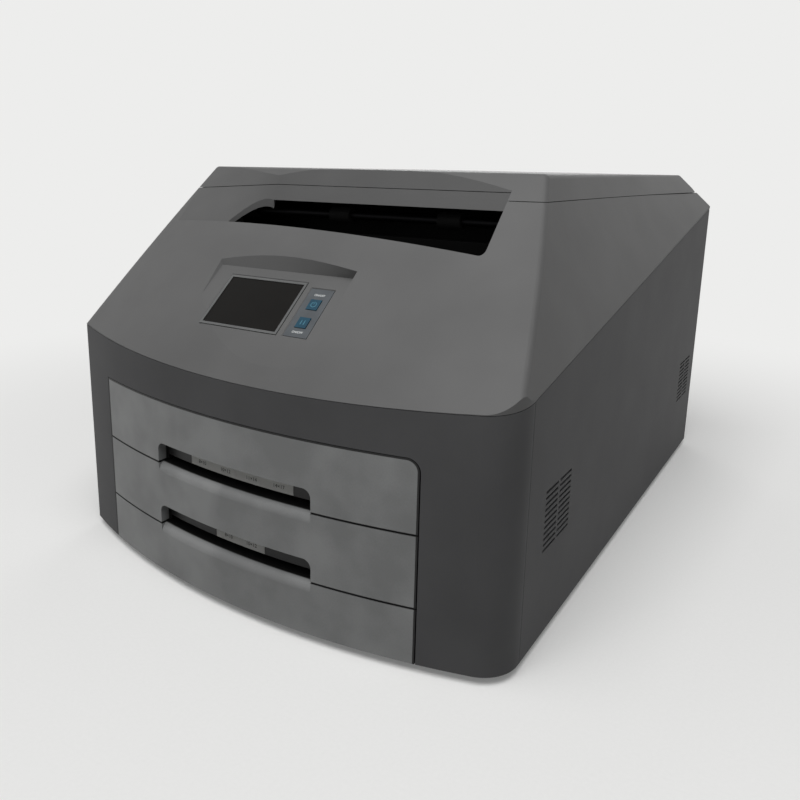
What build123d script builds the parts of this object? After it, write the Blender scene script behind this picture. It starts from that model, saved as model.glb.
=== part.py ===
from build123d import *
from math import cos, pi, radians, sin, sqrt
import os

# Desktop dry film printer: a bowed front with two film drawers, a sloping hood with a display,
# an output recess below a rear-hinged lid, and the film transport between two inner frames.
# Model coordinates: X to the right, Y to the rear from the foremost point of the bowed front,
# Z up from the lower edge of the housing. save() moves every piece to the frame that is kept,
# whose origin is the middle of the footprint at the level the feet stand on.

# Whole housing, as wide as its film and the room beside it
FILM_WIDTH = 355.6
SIDE_ROOM = 154.4
WIDTH = FILM_WIDTH + SIDE_ROOM
DEPTH = 727.5
FOOT_HEIGHT = 8.0
WALL = 3.0
SEAM = 0.6
FRONT_RADIUS = 742.0
FRONT_CENTRE_X = 30.0
CORNER_RADIUS = 35.0
CORNER_LEAST = 5.0
BEZEL_WRAP = 64.0

# Hood
PARTING_HEIGHT = 213.6
PARTING_CLIMB = 133.86
PARTING_RISE = round(PARTING_CLIMB / DEPTH, 6)
HOOD_SLOPE = 1.0
HOOD_BOW = 0.796
PLATEAU_HEIGHT = 393.0
PLATEAU_MARGIN = 45.0
PLATEAU_HALF_WIDTH = WIDTH / 2 - PLATEAU_MARGIN
FACET_START = 3.0
CREASE_ROUND = 6.0
LID_SEAM_HEIGHT = 369.0
RAISED_SEAM_HEIGHT = 376.0

# Output recess in the hood
RECESS_LEFT = -208.0
RECESS_RIGHT = 179.5
RECESS_CREASE_X = -86.0
LIP_FRONT = 120.4
LIP_CENTRE_X = 100.0
LIP_RADIUS = 1582.0
MOUTH_LEFT = -139.0
MOUTH_LEFT_BACK = 158.0
MOUTH_CORNER = 6.0
RECESS_WALL_FOOT = 170.0
RECESS_WALL_LEAN = 0.353
RECESS_FLOOR = 290.0
CURTAIN_HEIGHT = 360.0
BIN_GAP = 2.0
BIN_WALL = 3.0
BIN_FLOOR = 2.5
BIN_BACK_HEIGHT = 38.0
SKIN_GAP = 0.4

# Display pad in the hood
PAD_LEFT = -92.0
PAD_RIGHT = 66.0
PAD_FOOT = 15.0
PAD_TOP = 97.0
PAD_DROP = 12.7
PAD_FLARE = 14.0
BROW_CUT_HEIGHT = 20.0
BROW_LEANS = (26.0, 23.5, 4.0)
SCREEN_X = -25.4
SCREEN_V = 65.3
SCREEN_WIDTH = 87.0
SCREEN_HEIGHT = 57.0
SCREEN_RIM = 2.8
KEY_PANEL_X = 40.8
KEY_PANEL_V = 63.0
KEY_PANEL_WIDTH = 26.0
KEY_PANEL_HEIGHT = 56.5
KEY_SIZE = 11.8
KEY_RISES = {"power_button": 9.5, "pause_button": -11.7}
KEY_GAP = 0.3
OPENING_BEVEL = 0.8
DISPLAY_SINK = 1.0

# Front opening, drawers and base band
ENGINE_X = -8.0
OPENING_MARGIN = 8.7
OPENING_CORNER = 12.0
OPENING_GAP = 1.0
BASE_BAND = 50.0
DRAWER_PITCH = 64.0
DRAWER_COUNT = 2
FASCIA_BACK = 42.0
NOTCH_LEFT = -102.0
NOTCH_RIGHT = 88.0
NOTCH_HEIGHT = 20.0
NOTCH_CORNER = 8.0
POCKET_DEPTH = 12.0
POCKET_SLOT = 5.0
LIP_ROUND = 9.0
LABEL_X = 0.5
LABEL_LENGTHS = (60.0, 125.0)
LABEL_MARGIN = 0.5
LABEL_THICKNESS = 0.4

# Film trays and their runners
FILM_LENGTH = 431.8
FILM_SIDE_GAP = 3.0
FILM_END_GAP = 6.0
TRAY_WALL = 2.5
TRAY_LIFT = 6.0
TRAY_FLANGE = 8.0
TRAY_FLANGE_THICKNESS = 2.0
TRAY_WINDOWS = 3
TRAY_WINDOW_PITCH = 120.0
TRAY_WINDOW_WIDTH = 60.0
TRAY_WINDOW_LENGTH = 40.0
RUN_GAP = 0.3
RUNNER_THICKNESS = 2.0
RUNNER_HEIGHT = 12.0
RUNNER_SIDE_GAP = 4.0

# Inner frames and base
FRAME_THICKNESS = 2.0
FRAME_FRONT = 66.0
FRAME_REAR = 505.0
FRAME_WINDOW_FRONTS = (140.0, 320.0)
FRAME_WINDOW_LENGTH = 60.0
FRAME_WINDOW_BOTTOM = 195.0
FRAME_WINDOW_TOP = 245.0
PAN_THICKNESS = 2.0
FOOT_RADIUS = 14.0
PAN_FLANGE = 14.0

# Film transport
SHAFT_RADIUS = 4.0
SHAFT_CLEARANCE = 0.06
PLATEN_Y = 240.0
PLATEN_Z = 300.0
PLATEN_RADIUS = 15.0
EXIT_RADIUS = 8.0
PICKUP_RADIUS = 13.0
PICKUP_Y = 452.0
PICKUP_ABOVE_TRAY = 3.0
PICKUP_BELOW_NEXT = 5.0
EXIT_TYRE_WIDTH = 24.0
PICKUP_TYRE_WIDTH = 30.0
SHAFT_END = 4.0
GEAR_SIDE_GAP = 1.5
GEAR_MODULE = 1.5
GEAR_WIDTH = 7.0
PLATEN_TEETH = 40
IDLER_TEETH = 16
EXIT_TEETH = 24
PINION_TEETH = 14
TRAIN_ANGLE = 139.0
PINION_STEPS = 20
MOTOR_SIZE = 35.0
EXIT_TYRES = (-0.7, 0.0, 0.7)
PICKUP_TYRES = (-0.4, 0.4)

# Print head and film chute
HEAD_GAP = 0.3
HEAD_MARGIN = 4.0
HEAD_FRONT = -12.0
HEAD_BACK = 22.0
HEAD_THICKNESS = 5.0
SINK_BACK = 32.0
SINK_HEIGHT = 27.0
SINK_FINS = 8
FIN_PITCH = 4.0
FIN_THICKNESS = 1.6
HEAD_BAR_THICKNESS = 6.0
HEAD_BAR_HEIGHT = 35.0
CHUTE_MARGIN = 6.0
CHUTE_SHEET = 1.5
CHUTE_RADII = (64.0, 54.0)
CHUTE_ABOVE_BAND = 10.0
CHUTE_ABOVE_TRAY = 20.0
CHUTE_TURN_Y = 430.0
CHUTE_TURN_Z = 255.0
CHUTE_TAB = 40.0

# Side vents
VENT_FRONTS = (103.4, DEPTH - 96.6)
VENT_LENGTH = 64.1
VENT_BOTTOM = 81.8
VENT_TOP = 137.3
VENT_ROWS = 11
VENT_COLUMNS = 2
VENT_SLOT_HEIGHT = 2.6
VENT_COLUMN_GAP = 4.0

# Rear panel
FAN_SIZE = 80.0
FAN_X = 120.0
FAN_Z = 225.0
FAN_DEPTH = 25.0
FAN_WALL = 3.0
FAN_SPOKES = 3
FAN_BOSS_RADIUS = 14.0
FAN_HUB_RADIUS = 13.0
FAN_HUB_HEIGHT = 16.0
FAN_STUD_RADIUS = 2.0
FAN_TIP_GAP = 2.0
FAN_BLADES = 5
BLADE_CHORD = 16.0
BLADE_THICKNESS = 1.6
BLADE_PITCH_ANGLE = 38.0
GRILLE_ROWS = 4
GRILLE_PITCH = 8.0
PANEL_FIT = 0.2
FITTINGS_Z = 60.0
INLET_X = -150.0
INLET_HALF = (13.3, 9.8)
INLET_FLANGE_HALF = (16.0, 12.5)
INLET_CAVITY_HALF = (11.0, 7.0)
INLET_DEPTH = 20.0
INLET_CAVITY_DEPTH = 12.0
INLET_PINS = ((-7.0, -2.0), (0.0, 2.0), (7.0, -2.0))
INLET_PIN_HALF = (1.0, 2.0)
INLET_PROUD = 1.5
SWITCH_X = -112.0
SWITCH_HALF = (9.3, 6.8)
SWITCH_CAVITY_HALF = (7.5, 5.5)
SWITCH_DEPTH = 14.0
SWITCH_PROUD = 1.0
ROCKER_RADIUS = 5.0
ROCKER_SINK = 4.0
ROCKER_FLAT = 0.5
NETWORK_X = -60.0
NETWORK_HALF = (7.8, 6.8)
NETWORK_CAVITY_HALF = (5.9, 4.5)
NETWORK_DEPTH = 18.0
NETWORK_CAVITY_DEPTH = 10.0
NETWORK_PROUD = 0.4

# Power supply and main board
SUPPLY_LEFT = -190.0
SUPPLY_WIDTH = 130.0
SUPPLY_LENGTH = 150.0
SUPPLY_TOP = 95.0
SUPPLY_BEHIND = 37.5
BOARD_LEFT = -30.0
BOARD_WIDTH = 230.0
BOARD_LENGTH = 170.0
BOARD_BEHIND = 27.5
BOARD_Z = 12.0
BOARD_THICKNESS = 1.6
BOARD_POST_INSET = 8.0
BOARD_POST_HALF = 3.0
BOARD_PARTS = (
    (50.0, 30.0, 40.0, 40.0, 5.0),
    (120.0, 70.0, 60.0, 50.0, 18.0),
    (30.0, 110.0, 12.0, 50.0, 12.0),
)

# Lid hinge
LID_HINGE_X = 190.0
LID_PIN_RADIUS = 3.0
EAR_WIDTH = 10.0
LUG_WALL = 1.5
LUG_GAP = 0.2
LUG_REACH = 10.0
LID_HINGE_ROUND = WALL + LUG_GAP + LUG_WALL + LID_PIN_RADIUS

LID_HINGE_Y = DEPTH - LID_HINGE_ROUND
LID_HINGE_Z = LID_SEAM_HEIGHT + SEAM / 2 + LID_HINGE_ROUND
TRAY_HALF = FILM_WIDTH / 2 + FILM_SIDE_GAP + TRAY_WALL
TRAY_DEPTH = DRAWER_PITCH - 2 * PICKUP_RADIUS - PICKUP_ABOVE_TRAY - PICKUP_BELOW_NEXT
FRAME_HALF = TRAY_HALF + TRAY_FLANGE + RUN_GAP + RUNNER_THICKNESS + RUNNER_SIDE_GAP
OPENING_LEFT = ENGINE_X - TRAY_HALF - OPENING_MARGIN
OPENING_RIGHT = ENGINE_X + TRAY_HALF + OPENING_MARGIN
OPENING_TOP = BASE_BAND + DRAWER_COUNT * DRAWER_PITCH
TOP_TRAY_RIM = OPENING_TOP - DRAWER_PITCH + TRAY_LIFT + TRAY_DEPTH
CHUTE_FEET = (BASE_BAND + CHUTE_ABOVE_BAND, TOP_TRAY_RIM + CHUTE_ABOVE_TRAY)
DRAWER_NAMES = ("lower", "upper")
HUGE = 1600.0

os.makedirs("parts", exist_ok=True)


def save(node, shape):
    """Move a piece to the kept frame and write it as one file."""
    placed = Pos(0, -(DEPTH + INLET_PROUD) / 2, FOOT_HEIGHT) * shape
    export_step(placed, f"parts/{node}.step")


def block(x0, x1, y0, y1, z0, z1):
    """Box between two corners."""
    return Pos((x0 + x1) / 2, (y0 + y1) / 2, (z0 + z1) / 2) * Box(x1 - x0, y1 - y0, z1 - z0)


def half_space(point, normal):
    """Big block on the side of a plane that its normal points to."""
    return Plane(origin=point, z_dir=normal) * Pos(0, 0, HUGE / 2) * Box(2 * HUGE, 2 * HUGE, HUGE)


def rod(x0, x1, y, z, radius):
    """Cylinder along X."""
    return Pos((x0 + x1) / 2, y, z) * Rot(0, 90, 0) * Cylinder(radius, x1 - x0)


def front_y(x, inset=0.0):
    """Y of the bowed front at x, moved inwards by inset."""
    radius = FRONT_RADIUS - inset
    return FRONT_RADIUS - sqrt(radius**2 - (x - FRONT_CENTRE_X) ** 2)


def parting_z(y):
    """Height of the joint between hood and lower housing."""
    return PARTING_HEIGHT + PARTING_RISE * y


def plan_face(inset):
    """Outline of the housing seen from above, moved inwards by inset."""
    half = WIDTH / 2 - inset
    back = DEPTH - inset
    left = (-half, front_y(-half, inset))
    right = (half, front_y(half, inset))
    foremost = (FRONT_CENTRE_X, inset)
    with BuildSketch() as plan:
        with BuildLine():
            ThreePointArc(left, foremost, right)
            Line(right, (half, back))
            Line((half, back), (-half, back))
            Line((-half, back), left)
        make_face()
        front_right = plan.vertices().sort_by(Axis.X)[-2:].sort_by(Axis.Y)[0]
        fillet(front_right, max(CORNER_RADIUS - inset, CORNER_LEAST))
    return plan.sketch


def front_ring(x0, x1, z0, z1, depth, inset=0.0):
    """Stretch of the bowed front skin between two x and two z."""
    centre = Pos(FRONT_CENTRE_X, FRONT_RADIUS, (z0 + z1) / 2)
    outer = Cylinder(FRONT_RADIUS - inset, z1 - z0)
    inner = Cylinder(FRONT_RADIUS - inset - depth, z1 - z0)
    return (centre * (outer - inner)) & block(x0, x1, -50, FRONT_RADIUS / 2, z0 - 1, z1 + 1)


def front_solid(x0, x1, z0, z1, back, inset=0.0):
    """Block whose front is the bowed front and whose back is flat."""
    centre = Pos(FRONT_CENTRE_X, FRONT_RADIUS, (z0 + z1) / 2)
    disc = centre * Cylinder(FRONT_RADIUS - inset, z1 - z0)
    return disc & block(x0, x1, -50, back, z0 - 1, z1 + 1)


def slope_bow(x, inset=0.0):
    """How far the hood's slope has swept back at x, measured along Y."""
    bow = FRONT_RADIUS / HOOD_BOW
    return bow - sqrt(bow**2 - (x - FRONT_CENTRE_X) ** 2)


def slope_z(x, y):
    """Height of the hood's slope."""
    return PARTING_HEIGHT + HOOD_SLOPE * (y - slope_bow(x))


def hood_block(inset, floor_drop):
    """Closed outer form of hood and lid together, moved inwards by inset."""
    body = extrude(plan_face(inset), HUGE / 2)
    body -= half_space((0, 0, PARTING_HEIGHT - floor_drop), (0, PARTING_RISE, -1))
    apex = inset * sqrt(1 + HOOD_SLOPE**2) / HOOD_SLOPE - PARTING_HEIGHT / HOOD_SLOPE
    reach = HUGE / 4
    left, right = FRONT_CENTRE_X - reach, FRONT_CENTRE_X + reach
    end = apex + slope_bow(right)
    with BuildSketch() as slope_plan:
        with BuildLine():
            ThreePointArc((left, end), (FRONT_CENTRE_X, apex), (right, end))
            Polyline((right, end), (right, HUGE), (left, HUGE), (left, end))
        make_face()
    rise = HUGE / 3
    body &= Solid.extrude(slope_plan.sketch.face(), Vector(0, rise / HOOD_SLOPE, rise))
    body &= block(-HUGE, HUGE, -HUGE, HUGE, 0, PLATEAU_HEIGHT - inset)
    for side in (-1, 1):
        body -= side_wedge(side, inset)
    return body


def round_creases(body):
    """Soften the creases between slope, plateau and side facets."""
    slope_top = PLATEAU_HEIGHT - CREASE_ROUND
    creases = []
    for edge in body.edges():
        middle = edge.position_at(0.5)
        inside = middle.Y < DEPTH / 2 and middle.Z > (PARTING_HEIGHT + PLATEAU_HEIGHT) / 2
        along_top = middle.Z > slope_top and abs(middle.X) < PLATEAU_HALF_WIDTH + 1
        down_side = abs(middle.X) > PLATEAU_HALF_WIDTH - 1 and middle.Z < slope_top
        if (inside and down_side) or along_top and middle.Y < DEPTH - 1:
            creases.append(edge)
    return fillet(creases, CREASE_ROUND)


def side_wedge(side, inset):
    """Waste outside the twisted facet on one side of the hood."""
    top = PLATEAU_HEIGHT + 40
    out = WIDTH
    sections = []
    for y in (-20.0, DEPTH + 20.0):
        foot_z = parting_z(y) + FACET_START
        foot_x = WIDTH / 2 - inset * 1.2
        lean = (WIDTH / 2 - PLATEAU_HALF_WIDTH) / (PLATEAU_HEIGHT - foot_z)
        top_x = foot_x - lean * (top - foot_z)
        corners = [(foot_x, foot_z), (top_x, top), (out, top), (out, foot_z)]
        outline = Polyline(*[(side * x, y, z) for x, z in corners], close=True)
        sections.append(Face(Wire(outline.edges())))
    return loft(sections, ruled=True)


def lip_y(x):
    """Front edge of the output recess."""
    return LIP_FRONT + LIP_RADIUS - sqrt(LIP_RADIUS**2 - (x - LIP_CENTRE_X) ** 2)


def wall_foot_y(x, z, grow):
    """Back of the output recess: the hood's slope at its left edge, the upright wall from the crease on."""
    if x < RECESS_CREASE_X - 1:
        return lip_y(x) + (z - slope_z(x, lip_y(x))) / HOOD_SLOPE + grow * sqrt(1 + HOOD_SLOPE**-2)
    leaned = RECESS_WALL_FOOT + RECESS_WALL_LEAN * (z - CURTAIN_HEIGHT)
    return leaned + grow * sqrt(1 + RECESS_WALL_LEAN**2)


def recess_section(x, z0, grow):
    """Upright section of the recess at x, from its back wall to well before the lip."""
    z1 = PLATEAU_HEIGHT + 2 * CREASE_ROUND
    before = LIP_FRONT - 8 * WALL
    foot, top = wall_foot_y(x, z0, grow), wall_foot_y(x, z1, grow)
    corners = [(before, z0), (foot, z0), (top, z1), (before, z1)]
    return Face(Wire(Polyline(*[(x, y, z) for y, z in corners], close=True).edges()))


def recess_block(grow):
    """Space of the output recess: a twisted facet on the left, an upright back wall right of its crease."""
    ends = [recess_section(x, RECESS_FLOOR, grow) for x in (RECESS_LEFT, RECESS_CREASE_X)]
    left = loft(ends, ruled=True)
    wall = recess_section(RECESS_CREASE_X, CURTAIN_HEIGHT, grow)
    right = Solid.extrude(wall, Vector(RECESS_RIGHT + grow - RECESS_CREASE_X, 0, 0))
    behind_lip = Cylinder(LIP_RADIUS + grow, 2 * PLATEAU_HEIGHT)
    return (left + right) & Pos(LIP_CENTRE_X, LIP_FRONT + LIP_RADIUS, PLATEAU_HEIGHT) * behind_lip


def mouth_block(z0, z1, grow=0.0):
    """Upright prism through the open mouth of the recess."""
    left = MOUTH_LEFT - grow
    right = RECESS_RIGHT + grow
    back = RECESS_WALL_FOOT + grow
    front_left = (left, lip_y(left) - grow)
    front_right = (right, lip_y(right) - grow)
    bend = (RECESS_CREASE_X - grow, back)
    swept = ((RECESS_CREASE_X + 2 * left) / 3 - grow / 2, (2 * back + MOUTH_LEFT_BACK) / 3 + 1)
    with BuildSketch() as mouth:
        with BuildLine():
            ThreePointArc(front_left, (LIP_CENTRE_X, LIP_FRONT - grow), front_right)
            Polyline(front_right, (right, back), bend)
            ThreePointArc(bend, swept, (left, MOUTH_LEFT_BACK))
            Line((left, MOUTH_LEFT_BACK), front_left)
        make_face()
        corner = mouth.vertices().sort_by(Axis.Y)[:2].sort_by(Axis.X)[-1]
        fillet(corner, MOUTH_CORNER + grow)
    return Pos(0, 0, z0) * extrude(mouth.sketch, z1 - z0)


def pad_plane():
    """Plane of the flat pad that carries the display, origin at the middle of its foot."""
    foot_z = PARTING_HEIGHT + HOOD_SLOPE * PAD_FOOT
    top_z = PARTING_HEIGHT + HOOD_SLOPE * PAD_TOP - PAD_DROP
    direction = Vector(0, PAD_TOP - PAD_FOOT, top_z - foot_z)
    normal = Vector(0, -(top_z - foot_z), PAD_TOP - PAD_FOOT)
    return Plane(origin=(0, PAD_FOOT, foot_z), x_dir=(1, 0, 0), z_dir=normal), direction.length


PAD, PAD_LENGTH = pad_plane()


def on_pad(u, v, height=0.0):
    """Location on the pad: u across, v up the slope, height off the surface."""
    return Location(PAD) * Pos(u, v, height)


def pad_cutter(grow):
    """Waste above the display pad: a straight brow on the pad turns into an arch where it meets the slope."""
    sections = []
    for height, leans in ((-grow, (0.0, 0.0, 0.0)), (BROW_CUT_HEIGHT, BROW_LEANS)):
        flare = PAD_FLARE if height > 0 else 0.0
        left = PAD_LEFT - flare - grow
        right = PAD_RIGHT + flare + grow
        low = -PAD_LENGTH / 2
        tops = [PAD_LENGTH + lean + grow for lean in leans]
        middle = (left + right) / 2
        with BuildSketch() as outline:
            with BuildLine():
                if leans[0]:
                    ThreePointArc((left, tops[0]), (middle, tops[1]), (right, tops[2]))
                else:
                    Line((left, tops[0]), (right, tops[2]))
                Polyline((right, tops[2]), (right, low), (left, low), (left, tops[0]))
            make_face()
        sections.append(on_pad(0, 0, height) * outline.sketch.face())
    return loft(sections, ruled=True)


def bevelled_opening(u, v, width, height):
    """Waste for an opening through the pad, with a small bevel along its upper edge."""
    hole = on_pad(u, v) * Box(width, height, 10 * WALL)
    rim = extrude(Rectangle(width, height), 2 * OPENING_BEVEL, taper=-45)
    return hole + on_pad(u, v, -OPENING_BEVEL) * rim


def hood_shell():
    """Hood and lid in one piece: thin shell with recess walls, display pad and openings."""
    outer = round_creases(hood_block(0.0, 0.0))
    shell = outer - recess_block(0.0)
    shell -= hood_block(WALL, 2 * WALL) - recess_block(WALL)
    shell -= mouth_block(PARTING_HEIGHT + 8 * WALL, CURTAIN_HEIGHT + SEAM)
    shell += pad_cutter(WALL) & hood_block(SEAM, 0.0)
    shell -= pad_cutter(0.0)
    rim = 2 * SCREEN_RIM
    shell -= bevelled_opening(SCREEN_X, SCREEN_V, SCREEN_WIDTH + rim, SCREEN_HEIGHT + rim)
    shell -= bevelled_opening(KEY_PANEL_X, KEY_PANEL_V, KEY_PANEL_WIDTH, KEY_PANEL_HEIGHT)
    return shell


def above_seam(offset):
    """Space above the lid's seam, which steps up along the back wall of the recess."""
    low = LID_SEAM_HEIGHT + offset
    high = RAISED_SEAM_HEIGHT + offset
    right = RECESS_RIGHT - SEAM / 2 + offset
    strip_back = lip_y(RECESS_LEFT) + (RAISED_SEAM_HEIGHT - LID_SEAM_HEIGHT) + 12 * WALL
    corners = [(RECESS_LEFT, low), (RECESS_CREASE_X, high), (right, high), (right, low)]
    ramp = Face(Wire(Polyline(*[(x, 0, z) for x, z in corners], close=True).edges()))
    strip = Solid.extrude(ramp, Vector(0, strip_back + 4 * WALL, 0))
    return half_space((0, 0, low), (0, 0, 1)) - strip


def lid_hinge(seam_low):
    """Ears of the lid, lugs of the hood and the pins. A lug's neck stands before the lid's sweep."""
    knuckle = LID_PIN_RADIUS + LUG_WALL
    front = LID_HINGE_Y - LUG_REACH
    back = DEPTH - WALL + SEAM
    foot = seam_low - 2 * LUG_REACH
    top = LID_HINGE_Z + knuckle
    ears, lugs, pins = [], [], []
    for side in (-1, 1):
        x = side * LID_HINGE_X
        ear_foot = LID_SEAM_HEIGHT + SEAM / 2
        ears.append(block(x - EAR_WIDTH / 2, x + EAR_WIDTH / 2, front, back, ear_foot, PLATEAU_HEIGHT - 1))
        inner = x - side * (EAR_WIDTH + 1)
        x0, x1 = inner - EAR_WIDTH / 2, inner + EAR_WIDTH / 2
        lug = block(x0, x1, front, LID_HINGE_Y - LUG_REACH / 2, foot, top)
        lug += block(x0, x1, front, back, foot, seam_low - SEAM)
        lug += block(x0, x1, front, LID_HINGE_Y, LID_HINGE_Z, top)
        lug += rod(x0, x1, LID_HINGE_Y, LID_HINGE_Z, knuckle)
        lugs.append(lug)
        low, high = sorted((x + side * EAR_WIDTH / 2, inner - side * EAR_WIDTH / 2))
        pins.append(rod(low, high, LID_HINGE_Y, LID_HINGE_Z, LID_PIN_RADIUS))
    return ears, lugs, pins


def hood_parts():
    """Hood and rear-hinged lid, split at the seam."""
    shell = hood_shell()
    hood = shell - above_seam(-SEAM / 2)
    lid = shell & above_seam(SEAM / 2)
    seam_low = LID_SEAM_HEIGHT - SEAM / 2
    pin_hole = rod(-WIDTH, WIDTH, LID_HINGE_Y, LID_HINGE_Z, LID_PIN_RADIUS + SHAFT_CLEARANCE)
    ears, lugs, pins = lid_hinge(seam_low)
    for ear in ears:
        lid += ear - pin_hole
    for lug in lugs:
        hood += lug - pin_hole
    rolled = block(-WIDTH, WIDTH, LID_HINGE_Y, DEPTH + 1, seam_low - 1, LID_HINGE_Z)
    lid -= rolled - rod(-WIDTH, WIDTH, LID_HINGE_Y, LID_HINGE_Z, LID_HINGE_ROUND - 0.1)
    save("hood", hood)
    save("top_lid", lid)
    save("hinge_pins", Compound(pins))


def display_parts():
    """Display frame, touch screen, key panel and the two keys, all in the pad's plane."""
    place = (SCREEN_X, SCREEN_V)
    outer = 2 * SCREEN_RIM - 2 * KEY_GAP
    frame_width, frame_height = SCREEN_WIDTH + outer, SCREEN_HEIGHT + outer
    frame = on_pad(*place, -DISPLAY_SINK) * Box(frame_width, frame_height, 4)
    frame -= on_pad(*place, DISPLAY_SINK / 2) * Box(SCREEN_WIDTH, SCREEN_HEIGHT, 4)
    frame -= on_pad(*place, 2 - DISPLAY_SINK) * Box(frame_width + 1, frame_height + 1, 2 * DISPLAY_SINK)
    save("display_frame", frame)
    screen = on_pad(*place, -DISPLAY_SINK) * Box(SCREEN_WIDTH - KEY_GAP, SCREEN_HEIGHT - KEY_GAP, 1)
    save("touch_screen", screen)
    panel = on_pad(KEY_PANEL_X, KEY_PANEL_V, -1.5 * DISPLAY_SINK)
    panel = panel * Box(KEY_PANEL_WIDTH - 2 * KEY_GAP, KEY_PANEL_HEIGHT - 2 * KEY_GAP, 2)
    hole = KEY_SIZE + 2 * KEY_GAP
    for rise in KEY_RISES.values():
        panel -= on_pad(KEY_PANEL_X, KEY_PANEL_V + rise) * Box(hole, hole, 20)
    save("key_panel", panel)
    board = on_pad(KEY_PANEL_X, KEY_PANEL_V, -10) * Box(KEY_PANEL_WIDTH, KEY_PANEL_HEIGHT, 2)
    for v in (-KEY_PANEL_HEIGHT / 2 + 2, KEY_PANEL_HEIGHT / 2 - 2):
        board += on_pad(KEY_PANEL_X, KEY_PANEL_V + v, -5.75) * Box(KEY_PANEL_WIDTH / 4, 3, 6.5)
    save("key_board", board)
    for node, rise in KEY_RISES.items():
        key = on_pad(KEY_PANEL_X, KEY_PANEL_V + rise, -2.2) * Box(KEY_SIZE, KEY_SIZE, 4.6)
        key += on_pad(KEY_PANEL_X, KEY_PANEL_V + rise, -6.0) * Box(KEY_SIZE / 2, KEY_SIZE / 2, 3.4)
        save(node, key)


def drawer_parts():
    """Two equal drawers: curved fascia with a finger pocket, film tray with runner flanges."""
    for level, name in enumerate(DRAWER_NAMES):
        foot = BASE_BAND + level * DRAWER_PITCH
        low = foot + OPENING_GAP / 2
        high = foot + DRAWER_PITCH - OPENING_GAP / 2
        save(f"{name}_drawer_front", drawer_front(low, high, level == DRAWER_COUNT - 1))
        save(f"{name}_film_tray", film_tray(foot))
        save(f"{name}_size_label", size_label(low, LABEL_LENGTHS[level]))


def lip_cutter(top):
    """Waste that rounds the top front edge of a band below a finger notch."""
    with BuildSketch(Plane.XZ) as quarter:
        with Locations((FRONT_RADIUS - LIP_ROUND, top - LIP_ROUND)):
            Circle(LIP_ROUND)
    torus = revolve(quarter.sketch, Axis.Z, 360)
    torus = Pos(FRONT_CENTRE_X, FRONT_RADIUS, 0) * torus
    outside = front_ring(NOTCH_LEFT, NOTCH_RIGHT, top - LIP_ROUND, top + WALL, LIP_ROUND + 2, -2.0)
    return outside - torus


def notch_prism(low, grow):
    """Level prism with the outline of a finger notch, its two upper corners rounded."""
    width = NOTCH_RIGHT - NOTCH_LEFT + 2 * grow
    height = NOTCH_HEIGHT + grow + WALL
    with BuildSketch(Plane.XZ) as outline:
        with Locations(((NOTCH_LEFT + NOTCH_RIGHT) / 2, low - WALL + height / 2)):
            Rectangle(width, height)
        fillet(outline.vertices().group_by(Axis.Y)[-1], NOTCH_CORNER + grow)
    return extrude(outline.sketch, FASCIA_BACK, both=True)


def drawer_front(low, high, is_top):
    """Hollow fascia, open behind, with a finger pocket in its lower edge and a slot below the pocket."""
    x0 = OPENING_LEFT + OPENING_GAP
    x1 = OPENING_RIGHT - OPENING_GAP
    outer = front_solid(x0, x1, low, high, FASCIA_BACK)
    if is_top:
        corner = outer.edges().filter_by(Axis.Y).group_by(Axis.Z)[-1].sort_by(Axis.X)[-1]
        outer = fillet(corner, OPENING_CORNER - OPENING_GAP)
    hollow = front_solid(x0 + WALL, x1 - WALL, low + WALL, high - WALL, FASCIA_BACK + 1, WALL)
    ends = (NOTCH_LEFT - 2 * WALL, NOTCH_RIGHT + 2 * WALL)
    top = low + NOTCH_HEIGHT + 2 * WALL
    pocket_wall = front_ring(*ends, low, top, POCKET_DEPTH + WALL) & notch_prism(low, WALL)
    pocket = front_ring(*ends, low - 1, top, POCKET_DEPTH, -1.0)
    slot_front, slot_back = front_y(NOTCH_LEFT) / 2, FASCIA_BACK - 2 * WALL
    slot = block(NOTCH_LEFT + WALL, NOTCH_RIGHT - WALL, slot_front, slot_back, low - 1, low + POCKET_SLOT)
    face = (outer - hollow) + pocket_wall - (pocket & notch_prism(low, 0)) - slot
    if not is_top:
        face -= lip_cutter(high)
    return face


def size_label(low, length):
    """Bare strip on the back wall of the finger pocket."""
    foot = low + POCKET_SLOT + LABEL_MARGIN
    top = low + NOTCH_HEIGHT - LABEL_MARGIN
    left, right = LABEL_X - length / 2, LABEL_X + length / 2
    return front_ring(left, right, foot, top, LABEL_THICKNESS, POCKET_DEPTH - 1 - LABEL_THICKNESS)


def film_tray(foot):
    """Open tray for cut film with side flanges that ride on the runners."""
    half = TRAY_HALF
    front = FASCIA_BACK
    back = FASCIA_BACK + 2 * TRAY_WALL + FILM_LENGTH + FILM_END_GAP
    floor = foot + TRAY_LIFT
    rim = floor + TRAY_DEPTH
    tray = block(ENGINE_X - half, ENGINE_X + half, front, back, floor, rim)
    x0, x1 = ENGINE_X - half + TRAY_WALL, ENGINE_X + half - TRAY_WALL
    tray -= block(x0, x1, front + TRAY_WALL, back - TRAY_WALL, floor + TRAY_WALL, rim + 1)
    for side in (-1, 1):
        x0, x1 = sorted((ENGINE_X + side * (half - 0.5), ENGINE_X + side * (half + TRAY_FLANGE)))
        tray += block(x0, x1, front, back, rim - TRAY_FLANGE_THICKNESS, rim)
    for window in range(1, TRAY_WINDOWS + 1):
        place = Pos(ENGINE_X, front + window * TRAY_WINDOW_PITCH, floor)
        tray -= place * Box(TRAY_WINDOW_WIDTH, TRAY_WINDOW_LENGTH, 4 * TRAY_WALL)
    return tray


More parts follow.
